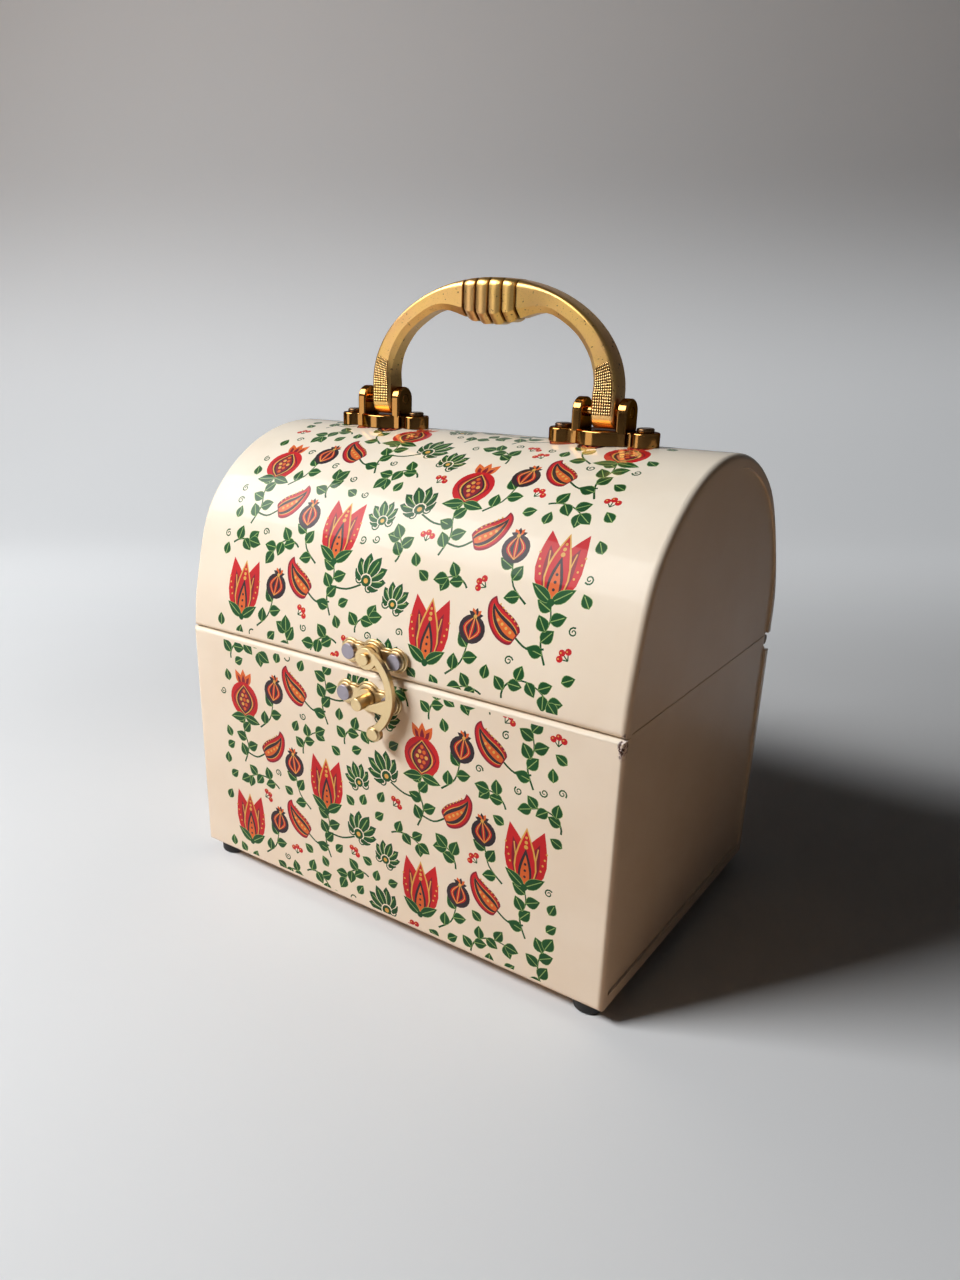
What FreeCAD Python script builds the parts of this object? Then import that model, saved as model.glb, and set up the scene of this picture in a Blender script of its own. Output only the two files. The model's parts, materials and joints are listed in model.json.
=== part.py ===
"""Keepsake trunk box: a lacquered board base, a half-round lid on a long rear hinge,
a swing-hook latch and a folding cast handle.

Millimetres. X runs along the front, Y from the front to the back, Z up. The origin lies on the table,
in the middle of the box's outer limits. Pieces are built at rest: lid shut, hook closed, handle upright.
"""
import FreeCAD, Part
import Sketcher
import math
import os
import re

doc = FreeCAD.newDocument("trunk_box")

# Driving sizes
SIZES = {
    "box_width": 190.0, "box_depth": 135.0, "base_height": 98.5, "board": 4.4, "end_inset": 0.8,
    "edge_round": 1.0, "seam_gap": 0.4, "board_fit": 0.05,
    "lid_wall": 9.5,
    "foot_height": 5.5, "foot_radius": 5.5, "foot_inset": 8.0, "foot_round": 1.2,
    "barrel_radius": 2.0, "leaf_thickness": 0.8, "leaf_end_gap": 0.4,
    "hinge_drop": 2.2, "back_drop": 6.4, "rear_lift": 1.0, "barrel_end_inset": 1.2, "barrel_room": 0.5,
    "knuckle_count": 15, "knuckle_gap": 0.2, "hinge_pin_radius": 0.9, "pin_play": 0.05,
    "hinge_screw_count": 5, "hinge_screw_inset": 15.0, "hinge_screw_radius": 0.9,
    "hinge_screw_head": 1.8, "hinge_screw_dome": 0.8, "screw_bite": 3.4, "screw_fit": 0.03,
    "latch_height": 7.5, "latch_screw_spread": 10.1, "latch_lobe_radius": 4.5, "latch_middle_radius": 5.8,
    "latch_plate_thickness": 1.6, "latch_step": 0.8, "latch_pad_radius": 4.4, "latch_pad_height": 1.6,
    "latch_edge_round": 0.35,
    "latch_screw_head": 2.9, "latch_screw_rise": 1.3, "latch_screw_radius": 1.1,
    "hook_clearance": 0.4, "hook_thickness": 2.0, "hook_eye_radius": 4.0,
    "hook_ring_x": -8.5, "hook_ring_drop": 12.5, "hook_outer_radius": 19.4, "hook_band": 2.9,
    "hook_top_angle": 52.0, "hook_low_angle": 51.5, "hook_side_gap": 0.5,
    "knob_radius": 2.8, "knob_step": 0.5, "knob_extra": 0.8, "knob_drop": 27.4,
    "tooth_root_low": 19.6, "tooth_root_high": 12.7, "tooth_tip_low": 18.8, "tooth_tip_high": 17.4,
    "rivet_radius": 1.5, "rivet_head": 2.1, "rivet_rise": 1.0, "rivet_play": 0.05,
    "keeper_x": -2.6, "keeper_drop": 8.8, "keeper_pad_radius": 3.6, "keeper_pad_height": 1.0,
    "stud_drop": 9.6, "stud_radius": 1.4, "stud_head": 2.4, "latch_reach": 7.8,
    "handle_spacing": 96.0, "plate_thickness": 4.8, "lobe_radius": 5.0, "lobe_spread": 15.5,
    "lens_radius": 13.0, "lens_half_depth": 7.6, "neck_half_depth": 3.4, "plate_round": 0.7,
    "ear_gap": 13.0, "ear_thickness": 3.8, "ear_depth": 9.4, "ear_round": 0.8, "handle_pin_height": 10.8,
    "handle_pin_radius": 1.9, "plate_screw_head": 3.0, "plate_screw_dome": 1.4, "plate_screw_radius": 1.4,
    "leg_width": 8.5, "leg_depth": 9.0, "handle_play": 1.2, "handle_rise": 43.7, "handle_stub": 6.0,
    "arm_height": 6.8, "arm_angle": 40.0, "handle_round": 1.6, "foot_edge_round": 1.2,
    "grip_height": 15.4, "grip_depth": 12.4, "grip_round": 4.5, "grip_reach": 29.0, "grip_upright": 13.0,
    "groove_count": 5, "groove_pitch": 5.8, "groove_width": 1.0, "groove_depth": 0.7,
}
sheet = doc.addObject("Spreadsheet::Sheet", "Sizes")
for row, (alias, value) in enumerate(SIZES.items(), start=1):
    sheet.set(f"A{row}", alias)
    sheet.set(f"B{row}", str(value))
    sheet.setAlias(f"B{row}", alias)
doc.recompute()

# Shared places, written in the sheet's words
MIDDLE = "(latch_reach / 2)"
FRONT = f"({MIDDLE} - box_depth / 2)"
BACK = f"({MIDDLE} + box_depth / 2)"
SEAM = "(foot_height + base_height)"
SPRING = f"({SEAM} + lid_wall)"
CROWN = f"({SPRING} + box_depth / 2)"
LID_FOOT = f"({SEAM} + seam_gap)"
HINGE_Y = f"({BACK} - board + barrel_radius - leaf_thickness)"
HINGE_Z = f"({SEAM} - hinge_drop)"
END_OUT = "(box_width / 2 - end_inset)"
END_IN = f"({END_OUT} - board)"
LATCH_Z = f"({SEAM} + latch_height)"
KEEPER_Z = f"({SEAM} - keeper_drop)"
STUD_Z = f"({SEAM} - stud_drop)"
PLATE_FACE = f"({FRONT} - latch_plate_thickness)"
HOOK_BACK = f"({PLATE_FACE} - latch_pad_height - hook_clearance)"
HOOK_FRONT = f"({HOOK_BACK} - hook_thickness)"
PIN_Z = f"({CROWN} + handle_pin_height)"

pieces = {}


def size(alias):
    """A driving size as a number, for features that take numbers only."""
    return float(sheet.get(alias))


def bind(obj, prop, text):
    """Ties one property to an expression in the sheet's words."""
    words = re.sub(r"[a-z_]+", lambda found: "Sizes." + found[0] if found[0] in SIZES else found[0], text)
    obj.setExpression(prop, words)


def put(obj, x, y, z):
    """Ties an object's place to three expressions."""
    for axis, text in zip("xyz", (x, y, z)):
        bind(obj, f"Placement.Base.{axis}", text)


def block(name, x, y, z):
    """A box between low and high expressions along each axis."""
    box = doc.addObject("Part::Box", name)
    for prop, (low, high) in zip(("Length", "Width", "Height"), (x, y, z)):
        bind(box, prop, f"({high}) - ({low})")
    put(box, x[0], y[0], z[0])
    return box


TURNS = {
    "x": FreeCAD.Rotation(FreeCAD.Vector(0, 1, 0), 90),
    "y": FreeCAD.Rotation(FreeCAD.Vector(1, 0, 0), -90),
    "z": FreeCAD.Rotation(),
}


def rod(name, axis, radius, low, high, across):
    """A cylinder along one axis, with its two other coordinates in their X, Y, Z order."""
    cylinder = doc.addObject("Part::Cylinder", name)
    bind(cylinder, "Radius", radius)
    bind(cylinder, "Height", f"({high}) - ({low})")
    cylinder.Placement = FreeCAD.Placement(FreeCAD.Vector(), TURNS[axis])
    place = list(across)
    place.insert("xyz".index(axis), low)
    put(cylinder, *place)
    return cylinder


def fuse(name, *parts):
    joined = doc.addObject("Part::MultiFuse", name)
    joined.Shapes = list(parts)
    joined.Refine = True
    return joined


def common(name, *parts):
    shared = doc.addObject("Part::MultiCommon", name)
    shared.Shapes = list(parts)
    return shared


def group(name, *parts):
    gathered = doc.addObject("Part::Compound", name)
    gathered.Links = list(parts)
    return gathered


def cut(name, base, *tools):
    left = doc.addObject("Part::Cut", name)
    left.Base = base
    left.Tool = tools[0] if len(tools) == 1 else group(name + "_tools", *tools)
    return left


def rounded(name, base, radius, wanted):
    """Fillets the edges that a test picks out."""
    doc.recompute()
    picked = [number for number, edge in enumerate(base.Shape.Edges, start=1) if wanted(edge)]
    fillet = doc.addObject("Part::Fillet", name)
    fillet.Base = base
    fillet.Edges = [(number, radius, radius) for number in picked]
    return fillet


def corners(shape):
    """The bounding box of an edge or a shape."""
    return shape.BoundBox


def keep(label, obj):
    """Names a finished piece, which becomes one file."""
    obj.Label = label
    pieces[label] = obj
    return obj


def vault(name, radius, low, high):
    """A solid half-round vault on upright walls, running along X over the seam."""
    half = doc.addObject("Part::Cylinder", name + "_half")
    bind(half, "Radius", radius)
    bind(half, "Height", f"({high}) - ({low})")
    half.Angle = 180
    upper = FreeCAD.Rotation(FreeCAD.Vector(0, 1, 0), FreeCAD.Vector(0, 0, 1), FreeCAD.Vector(1, 0, 0), "XYZ")
    half.Placement = FreeCAD.Placement(FreeCAD.Vector(), upper)
    put(half, low, MIDDLE, SPRING)
    span = (f"{MIDDLE} - ({radius})", f"{MIDDLE} + ({radius})")
    return fuse(name, half, block(name + "_walls", (low, high), span, (LID_FOOT, SPRING)))


def screw(name, axis, side, seat, across, head, rise, shank, bite, soft=0.45):
    """A screw or rivet: its head stands on seat towards side (+1 or -1), its shank goes the other way.

    soft is the share of the head's height that is rounded off: a small share makes a flat head.
    """
    sign = "+" if side > 0 else "-"
    back = "-" if side > 0 else "+"
    ends = [f"({seat})", f"({seat}) {sign} ({rise})"]
    tip = [f"({seat})", f"({seat}) {back} ({bite})"]
    order = 1 if side > 0 else -1
    cap = rod(name + "_head", axis, head, *ends[::order], across)
    top = size(rise) * soft
    far = "Max" if side > 0 else "Min"

    def outer_rim(edge):
        limits = corners(edge)
        whole = corners(cap.Shape)
        flat = getattr(limits, axis.upper() + "Length") < 1e-6
        return flat and abs(getattr(limits, axis.upper() + far) - getattr(whole, axis.upper() + far)) < 1e-6

    domed = rounded(name + "_dome", cap, top, outer_rim)
    return fuse(name, domed, rod(name + "_shank", axis, shank, *tip[::-order], across))


# Base boards: the front and the back cover the ends, and the floor lies between them
WIDE = ("-box_width / 2", "box_width / 2")
FLOOR = "(foot_height + board)"


def face_rim(plane):
    """Picks the edges that lie on the outer face of a front or back board."""
    return lambda edge: abs(corners(edge).YMin - plane) < 1e-6 and corners(edge).YLength < 1e-6


def hinge_screw_places():
    """The hinge screws' X places, evenly spread along the leaf."""
    count = int(size("hinge_screw_count"))
    reach = f"({END_IN} - hinge_screw_inset)"
    return [f"-{reach} + {step} * 2 * {reach} / (hinge_screw_count - 1)" for step in range(count)]


def hinge_screw_holes(name, height, low, high, radius):
    return [rod(f"{name}_{number}", "y", radius, low, high, (x, height))
            for number, x in enumerate(hinge_screw_places())]


LEAF_FACE = f"({HINGE_Y} - barrel_radius)"
LEAF_HEIGHT = "(lid_wall + hinge_drop)"
BASE_SCREW_Z = f"({HINGE_Z} - {LEAF_HEIGHT} * 0.66)"
LID_SCREW_Z = f"({HINGE_Z} + {LEAF_HEIGHT} * 0.66)"
HINGE_HOLE = "hinge_screw_radius + screw_fit"
LATCH_HOLE = "latch_screw_radius + screw_fit"

front = block("front_board", WIDE, (FRONT, f"{FRONT} + board"), ("foot_height", SEAM))
doc.recompute()
front = rounded("front_rounded", front, size("edge_round"), face_rim(front.Shape.BoundBox.YMin))
FRONT_HOLE = (f"{FRONT} - board", f"{FRONT} + screw_bite + screw_fit")
keeper_holes = [rod(f"keeper_hole_{side}", "y", LATCH_HOLE, *FRONT_HOLE,
                    (f"keeper_x {side} latch_screw_spread", KEEPER_Z)) for side in "-+"]
keeper_holes.append(rod("stud_hole", "y", "stud_radius + screw_fit", *FRONT_HOLE, ("keeper_x", STUD_Z)))
keep("base_front_panel", cut("front_drilled", front, *keeper_holes))

back = block("back_board", WIDE, (f"{BACK} - board", BACK), ("foot_height", f"{SEAM} - back_drop"))
doc.recompute()
back = rounded("back_rounded", back, size("edge_round"), face_rim(back.Shape.BoundBox.YMax))
keep("base_back_panel", cut("back_drilled", back, *hinge_screw_holes(
    "back_hole", BASE_SCREW_Z, f"{BACK} - board", f"{BACK} - board + screw_bite + screw_fit", HINGE_HOLE)))

INSIDE = (f"{FRONT} + board", f"{BACK} - board")
keep("base_bottom_panel", block("floor_board", WIDE, INSIDE, ("foot_height", FLOOR)))
for side, low, high in (("left", f"-{END_OUT}", f"-{END_IN}"), ("right", END_IN, END_OUT)):
    end = block(f"{side}_end_board", (low, high), INSIDE, (FLOOR, SEAM))
    notch = block(f"{side}_end_notch", (f"({low}) - board", f"({high}) + board"),
                  (f"{HINGE_Y} - barrel_radius - barrel_room", f"{BACK} + board"),
                  (f"{HINGE_Z} - barrel_radius - barrel_room", f"{SEAM} + board"))
    keep(f"base_{side}_end", cut(f"{side}_end_notched", end, notch))

# Feet: four domed pads, each turned as a body of revolution
for depth_word, y in (("front", f"{FRONT} + foot_inset"), ("back", f"{BACK} - foot_inset")):
    for side, sign in (("left", "-"), ("right", "+")):
        body = doc.addObject("PartDesign::Body", f"foot_{depth_word}_{side}")
        upright = [plane for plane in body.Origin.OriginFeatures if plane.Role == "XZ_Plane"][0]
        sketch = body.newObject("Sketcher::SketchObject", f"foot_profile_{depth_word}_{side}")
        sketch.AttachmentSupport = (upright, "")
        sketch.MapMode = "FlatFace"
        radius, height = size("foot_radius"), size("foot_height")
        profile = [(0, 0), (radius, 0), (radius, height), (0, height)]
        for start, end in zip(profile, profile[1:] + profile[:1]):
            sketch.addGeometry(Part.LineSegment(FreeCAD.Vector(*start, 0), FreeCAD.Vector(*end, 0)), False)
        links = [("Coincident", line, 2, (line + 1) % 4, 1) for line in range(4)]
        links += [("Horizontal", 0), ("Horizontal", 2), ("Vertical", 1), ("Vertical", 3)]
        for link in links:
            sketch.addConstraint(Sketcher.Constraint(*link))
        sketch.addConstraint(Sketcher.Constraint("Coincident", 0, 1, -1, 1))
        for kind, line, prop in (("DistanceX", 0, "foot_radius"), ("DistanceY", 1, "foot_height")):
            number = sketch.addConstraint(Sketcher.Constraint(kind, line, 1, line, 2, size(prop)))
            bind(sketch, f"Constraints[{number}]", prop)
        turned = body.newObject("PartDesign::Revolution", f"foot_turned_{depth_word}_{side}")
        turned.Profile = sketch
        turned.ReferenceAxis = (sketch, ["V_Axis"])
        turned.Angle = 360.0
        doc.recompute()
        lower_rim = [f"Edge{number}" for number, edge in enumerate(turned.Shape.Edges, start=1)
                     if edge.BoundBox.ZMax < height / 2 and edge.BoundBox.XLength > radius]
        dome = body.newObject("PartDesign::Fillet", f"foot_dome_{depth_word}_{side}")
        dome.Base = (turned, lower_rim)
        bind(dome, "Radius", "foot_round")
        put(body, f"{sign}(box_width / 2 - foot_inset)", y, "0")
        keep(f"foot_{depth_word}_{side}", body)

# Lid: a bent skin over two inset ends
outer = vault("lid_outside", "box_depth / 2", *WIDE)
inner = vault("lid_inside", "box_depth / 2 - board", *WIDE)
rear = block("lid_rear_room", ("-box_width", "box_width"),
             (f"{BACK} - board * 1.5", f"{BACK} + board"), (f"{SEAM} - board", f"{SEAM} + rear_lift"))
skin = cut("lid_skin_square", outer, group("lid_hollow_and_rear", inner, rear))
HALF_WIDTH = size("box_width") / 2


def lid_outline(edge):
    """Picks the outer rim of each end of the skin, and its two lower outer edges."""
    limits = corners(edge)
    box = outer.Shape.BoundBox
    point = edge.valueAt((edge.FirstParameter + edge.LastParameter) / 2)
    from_middle = abs(point.y - size("latch_reach") / 2)
    half_depth = size("box_depth") / 2
    if limits.YLength < 1e-6 and limits.ZLength < 1e-6:
        return abs(from_middle - half_depth) < 1e-6 and point.z < box.ZMin + size("rear_lift") + 1e-6
    over_spring = max(0.0, point.z - box.ZMin - size("lid_wall") + size("seam_gap"))
    on_end = abs(abs(point.x) - HALF_WIDTH) < 1e-6 and limits.XLength < 1e-6
    return on_end and abs(math.hypot(from_middle, over_spring) - half_depth) < 1e-6


skin = rounded("lid_skin_rounded", skin, size("edge_round"), lid_outline)
lid_holes = hinge_screw_holes("lid_hole", LID_SCREW_Z, f"{BACK} - board * 1.5",
                              f"{BACK} - board + screw_bite + screw_fit", HINGE_HOLE)
lid_holes += [rod(f"latch_hole_{side}", "y", LATCH_HOLE, *FRONT_HOLE, (f"{side} latch_screw_spread", LATCH_Z))
              for side in "-+"]
lid_holes.append(rod("rivet_hole", "y", "rivet_radius + screw_fit", *FRONT_HOLE, ("0", LATCH_Z)))
PLATE_SIDES = (("left", "(-handle_spacing / 2)"), ("right", "(handle_spacing / 2)"))
SCREW_SPOTS = [(f"{side}_{end}", f"{x} {sign} lobe_spread")
               for side, x in PLATE_SIDES for end, sign in (("outer", "-"), ("inner", "+"))]
PLATE_HOLE = "plate_screw_radius + screw_fit"
lid_holes += [rod(f"plate_hole_{name}", "z", PLATE_HOLE, f"{CROWN} - screw_bite - screw_fit",
                  f"{CROWN} + board", (x, MIDDLE)) for name, x in SCREW_SPOTS]
keep("lid_skin", cut("lid_skin_drilled", skin, *lid_holes))

for side, low, high in (("left", f"-{END_OUT}", f"-{END_IN}"), ("right", END_IN, END_OUT)):
    end = vault(f"lid_{side}_board", "box_depth / 2 - board - board_fit", low, high)
    notch = block(f"lid_{side}_notch", (f"({low}) - board", f"({high}) + board"),
                  (f"{LEAF_FACE} - barrel_room", f"{BACK} + board"),
                  (f"{SEAM} - board", f"{SEAM} + rear_lift"))
    keep(f"lid_{side}_end", cut(f"lid_{side}_notched", end, notch))

# Long rear hinge: two leaves with interleaved knuckles on one pin
BARREL_END = "(box_width / 2 - barrel_end_inset)"
PITCH = f"((2 * {BARREL_END} + knuckle_gap) / knuckle_count)"
KNUCKLES = [(f"-{BARREL_END} + {step} * {PITCH}", f"-{BARREL_END} + {step + 1} * {PITCH} - knuckle_gap")
            for step in range(int(size("knuckle_count")))]
ON_PIN = (HINGE_Y, HINGE_Z)
LEAF_END = f"({END_IN} - leaf_end_gap)"


def knuckle_rods(name, radius, first, spare="0"):
    """Every second knuckle's cylinder, lengthened by spare at both ends."""
    return [rod(f"{name}_{step}", "x", radius, f"{low} - {spare}", f"{high} + {spare}", ON_PIN)
            for step, (low, high) in enumerate(KNUCKLES) if step % 2 == first]


def hinge_leaf(name, first, z, screw_z):
    """A leaf on the board's inner face, its own knuckles, and room for the other leaf's knuckles."""
    plate = block(f"{name}_plate", (f"-{LEAF_END}", LEAF_END),
                  (LEAF_FACE, f"{LEAF_FACE} + leaf_thickness"), z)
    room = knuckle_rods(f"{name}_room", "barrel_radius + knuckle_gap", 1 - first, "knuckle_gap")
    plate = cut(f"{name}_combed", plate, *room)
    whole = fuse(f"{name}_whole", plate, *knuckle_rods(f"{name}_knuckle", "barrel_radius", first))
    bore = rod(f"{name}_bore", "x", "hinge_pin_radius + pin_play", *WIDE, ON_PIN)
    through = (f"{LEAF_FACE} - board", f"{LEAF_FACE} + board")
    holes = hinge_screw_holes(f"{name}_hole", screw_z, *through, HINGE_HOLE)
    return cut(name, whole, bore, *holes)


keep("hinge_base_leaf", hinge_leaf("base_leaf", 0, (f"{HINGE_Z} - {LEAF_HEIGHT}", HINGE_Z), BASE_SCREW_Z))
keep("hinge_lid_leaf", hinge_leaf("lid_leaf", 1, (HINGE_Z, f"{HINGE_Z} + {LEAF_HEIGHT}"), LID_SCREW_Z))
keep("hinge_pin", rod("pin_rod", "x", "hinge_pin_radius", f"-{BARREL_END}", BARREL_END, ON_PIN))
for label, height in (("hinge_base_screws", BASE_SCREW_Z), ("hinge_lid_screws", LID_SCREW_Z)):
    keep(label, group(label + "_group", *[
        screw(f"{label}_{number}", "y", -1, LEAF_FACE, (x, height), "hinge_screw_head", "hinge_screw_dome",
              "hinge_screw_radius", "leaf_thickness + screw_bite")
        for number, x in enumerate(hinge_screw_places())]))


# Latch: a stepped, lobed plate with the hook on the lid, and a like keeper with a stud on the base
def lobed_layer(name, x, z, inset, low, high):
    """Three overlapping round lobes with a bar between them, rounded along the front outline."""
    ends = [f"({x}) {side} latch_screw_spread" for side in "-+"]
    lobes = [rod(f"{name}_lobe_{number}", "y", f"latch_lobe_radius - {inset}", low, high, (end, z))
             for number, end in enumerate(ends)]
    bar_half = f"(latch_lobe_radius * 0.86 - {inset})"
    bar = block(f"{name}_bar", tuple(ends), (low, high), (f"{z} - {bar_half}", f"{z} + {bar_half}"))
    middle = rod(f"{name}_middle", "y", f"latch_middle_radius - {inset}", low, high, (x, z))
    flat = fuse(f"{name}_flat", bar, *lobes, middle)
    doc.recompute()
    return rounded(f"{name}_soft", flat, size("latch_edge_round"), face_rim(flat.Shape.BoundBox.YMin))


def lobed_plate(name, x, z, pad_radius, pad_height, bore_radius, bore_at):
    """A wide thin layer, a narrower layer on it, a round pad in the middle, and the holes."""
    half = f"({FRONT} - latch_plate_thickness / 2)"
    wide = lobed_layer(f"{name}_wide", x, z, "0", half, FRONT)
    narrow_back = f"{half} + latch_plate_thickness / 4"
    narrow = lobed_layer(f"{name}_narrow", x, z, "latch_step", PLATE_FACE, narrow_back)
    pad = rod(f"{name}_pad", "y", pad_radius, f"{PLATE_FACE} - {pad_height}", half, (x, z))
    through = (f"{FRONT} - board * 2", f"{FRONT} + board")
    holes = [rod(f"{name}_screw_hole_{side}", "y", LATCH_HOLE, *through,
                 (f"({x}) {side} latch_screw_spread", z)) for side in "-+"]
    holes.append(rod(f"{name}_bore", "y", f"{bore_radius} + screw_fit", *through, bore_at))
    return cut(name, fuse(f"{name}_whole", wide, narrow, pad), *holes)


def plate_screws(label, x, z):
    """Two flat-headed screws on a latch plate's face."""
    return keep(label, group(label + "_group", *[
        screw(f"{label}_{number}", "y", -1, PLATE_FACE, (f"({x}) {side} latch_screw_spread", z),
              "latch_screw_head", "latch_screw_rise", "latch_screw_radius",
              "latch_plate_thickness + screw_bite", 0.2)
        for number, side in enumerate("-+")]))


ON_RIVET = ("0", LATCH_Z)
ON_STUD = ("keeper_x", STUD_Z)
keep("latch_plate", lobed_plate("latch_plate_cast", "0", LATCH_Z, "latch_pad_radius", "latch_pad_height",
                                "rivet_radius", ON_RIVET))
plate_screws("latch_plate_screws", "0", LATCH_Z)
keep("keeper_plate", lobed_plate("keeper_cast", "keeper_x", KEEPER_Z, "keeper_pad_radius",
                                 "keeper_pad_height", "stud_radius", ON_STUD))
plate_screws("keeper_screws", "keeper_x", KEEPER_Z)

STUD_SEAT = f"({PLATE_FACE} - keeper_pad_height)"
stud_head = rod("stud_cap", "y", "stud_head", f"{FRONT} - latch_reach", STUD_SEAT, ON_STUD)
doc.recompute()
stud_rim = face_rim(stud_head.Shape.BoundBox.YMin)
stud_head = rounded("stud_soft", stud_head, size("latch_edge_round"), stud_rim)
stud_post = rod("stud_post", "y", "stud_radius", STUD_SEAT, f"{FRONT} + screw_bite", ON_STUD)
keep("keeper_stud", fuse("stud_whole", stud_head, stud_post))

# Hook: a ring sector with an eye on the rivet, a thumb knob at the free end and a tooth beside the stud
HOOK = (HOOK_FRONT, HOOK_BACK)
RING = ("hook_ring_x", f"({LATCH_Z} - hook_ring_drop)")
sector = rod("hook_sector", "y", "hook_outer_radius", *HOOK, RING)
bind(sector, "Angle", "hook_top_angle + hook_low_angle")
lift = FreeCAD.Rotation(FreeCAD.Vector(0, 1, 0), -size("hook_top_angle"))
sector.Placement = FreeCAD.Placement(FreeCAD.Vector(), lift.multiply(TURNS["y"]))
put(sector, RING[0], HOOK_FRONT, RING[1])
HOOK_ROOM = (f"{HOOK_FRONT} - board", f"{HOOK_BACK} + board")
hollow = rod("hook_hollow", "y", "hook_outer_radius - hook_band", *HOOK_ROOM, RING)
band = cut("hook_ring", sector, hollow)
eye = rod("hook_eye", "y", "hook_eye_radius", *HOOK, ON_RIVET)
BESIDE_STUD = "(keeper_x + stud_head + hook_side_gap)"
TOOTH_ROOT = "(hook_ring_x + hook_outer_radius - hook_band / 2)"
tooth = doc.addObject("Part::Wedge", "hook_tooth")
for prop, words in {
        "Xmin": "-tooth_root_low", "Xmax": "-tooth_root_high", "X2min": "-tooth_tip_low",
        "X2max": "-tooth_tip_high", "Ymin": "0", "Ymax": f"{TOOTH_ROOT} - {BESIDE_STUD}",
        "Zmin": "0", "Zmax": "hook_thickness", "Z2min": "0", "Z2max": "hook_thickness"}.items():
    bind(tooth, prop, words)
tooth_axes = (FreeCAD.Vector(0, 0, 1), FreeCAD.Vector(-1, 0, 0), FreeCAD.Vector(0, -1, 0))
tooth.Placement = FreeCAD.Placement(FreeCAD.Vector(), FreeCAD.Rotation(*tooth_axes, "XYZ"))
put(tooth, TOOTH_ROOT, HOOK_BACK, LATCH_Z)
KNOB_AT = (f"{BESIDE_STUD} + knob_radius", f"{LATCH_Z} - knob_drop")
knob_root = rod("hook_knob_root", "y", "knob_radius", *HOOK, KNOB_AT)
knob = rod("hook_knob", "y", "knob_radius - knob_step", f"{HOOK_FRONT} - knob_extra",
           f"({HOOK_FRONT} + hook_thickness / 2)", KNOB_AT)
doc.recompute()
knob = rounded("knob_soft", knob, size("latch_edge_round"), face_rim(knob.Shape.BoundBox.YMin))
hook_bore = rod("hook_bore", "y", "rivet_radius + rivet_play", *HOOK_ROOM, ON_RIVET)
keep("latch_hook", cut("hook_bored", fuse("hook_whole", band, eye, tooth, knob_root, knob), hook_bore))
RIVET_SEAT = f"({HOOK_FRONT} - hook_clearance / 2)"
keep("latch_rivet", screw("rivet", "y", -1, RIVET_SEAT, ON_RIVET, "rivet_head", "rivet_rise", "rivet_radius",
                          f"{FRONT} - {RIVET_SEAT} + screw_bite", 0.3))

# Handle plates: a lens-shaped foot with a screw lobe at each end and two upright ears
PLATE_TOP = f"({CROWN} + plate_thickness)"
EAR_IN = "(ear_gap / 2)"
EAR_OUT = "(ear_gap / 2 + ear_thickness)"
HALF_EAR = "(ear_depth / 2)"
for side, x in PLATE_SIDES:
    tall = (CROWN, PLATE_TOP)
    shift = "(lens_radius - lens_half_depth)"
    lens = common(f"{side}_lens",
                  rod(f"{side}_lens_front", "z", "lens_radius", *tall, (x, f"{MIDDLE} + {shift}")),
                  rod(f"{side}_lens_back", "z", "lens_radius", *tall, (x, f"{MIDDLE} - {shift}")))
    neck = block(f"{side}_neck", (f"{x} - lobe_spread", f"{x} + lobe_spread"),
                 (f"{MIDDLE} - neck_half_depth", f"{MIDDLE} + neck_half_depth"), tall)
    bench = block(f"{side}_bench", (f"{x} - {EAR_OUT}", f"{x} + {EAR_OUT}"),
                  (f"{MIDDLE} - {HALF_EAR}", f"{MIDDLE} + {HALF_EAR}"), tall)
    lobes = [rod(f"{side}_lobe_{end}", "z", "lobe_radius", *tall, (f"{x} {end} lobe_spread", MIDDLE))
             for end in "-+"]
    foot = fuse(f"{side}_plate_foot", lens, neck, bench, *lobes)
    doc.recompute()
    top = foot.Shape.BoundBox.ZMax
    foot = rounded(f"{side}_plate_soft", foot, size("plate_round"),
                   lambda edge: corners(edge).ZMin > top - 1e-6)
    ears = []
    spans = ((f"{x} - {EAR_OUT}", f"{x} - {EAR_IN}"), (f"{x} + {EAR_IN}", f"{x} + {EAR_OUT}"))
    for number, span in enumerate(spans):
        cheek = block(f"{side}_cheek_{number}", span, (f"{MIDDLE} - {HALF_EAR}", f"{MIDDLE} + {HALF_EAR}"),
                      (f"{PLATE_TOP} - plate_thickness / 2", PIN_Z))
        ear_top = rod(f"{side}_ear_top_{number}", "x", HALF_EAR, *span, (MIDDLE, PIN_Z))
        ear = fuse(f"{side}_ear_{number}", cheek, ear_top)
        doc.recompute()
        limits = ear.Shape.BoundBox

        def cheek_rim(edge, limits=limits):
            """Picks the outline of both cheeks, but not their hidden lower edge."""
            flat = corners(edge).XLength < 1e-6 and corners(edge).ZMax > limits.ZMin + 1e-6
            at = corners(edge).XMin
            return flat and min(abs(at - limits.XMin), abs(at - limits.XMax)) < 1e-6

        ears.append(rounded(f"{side}_ear_soft_{number}", ear, size("ear_round"), cheek_rim))
    bores = [rod(f"{side}_ear_bore", "x", "handle_pin_radius + screw_fit",
                 f"{x} - ear_gap * 2", f"{x} + ear_gap * 2", (MIDDLE, PIN_Z))]
    bores += [rod(f"{side}_plate_bore_{end}", "z", PLATE_HOLE, f"{CROWN} - board", f"{PLATE_TOP} + board",
                  (f"{x} {end} lobe_spread", MIDDLE)) for end in "-+"]
    whole = fuse(f"{side}_plate_whole", foot, *ears)
    keep(f"handle_{side}_plate", cut(f"{side}_plate_drilled", whole, *bores))
    keep(f"handle_{side}_pin", rod(f"{side}_pin_rod", "x", "handle_pin_radius",
                                   f"{x} - {EAR_OUT}", f"{x} + {EAR_OUT}", (MIDDLE, PIN_Z)))
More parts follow.
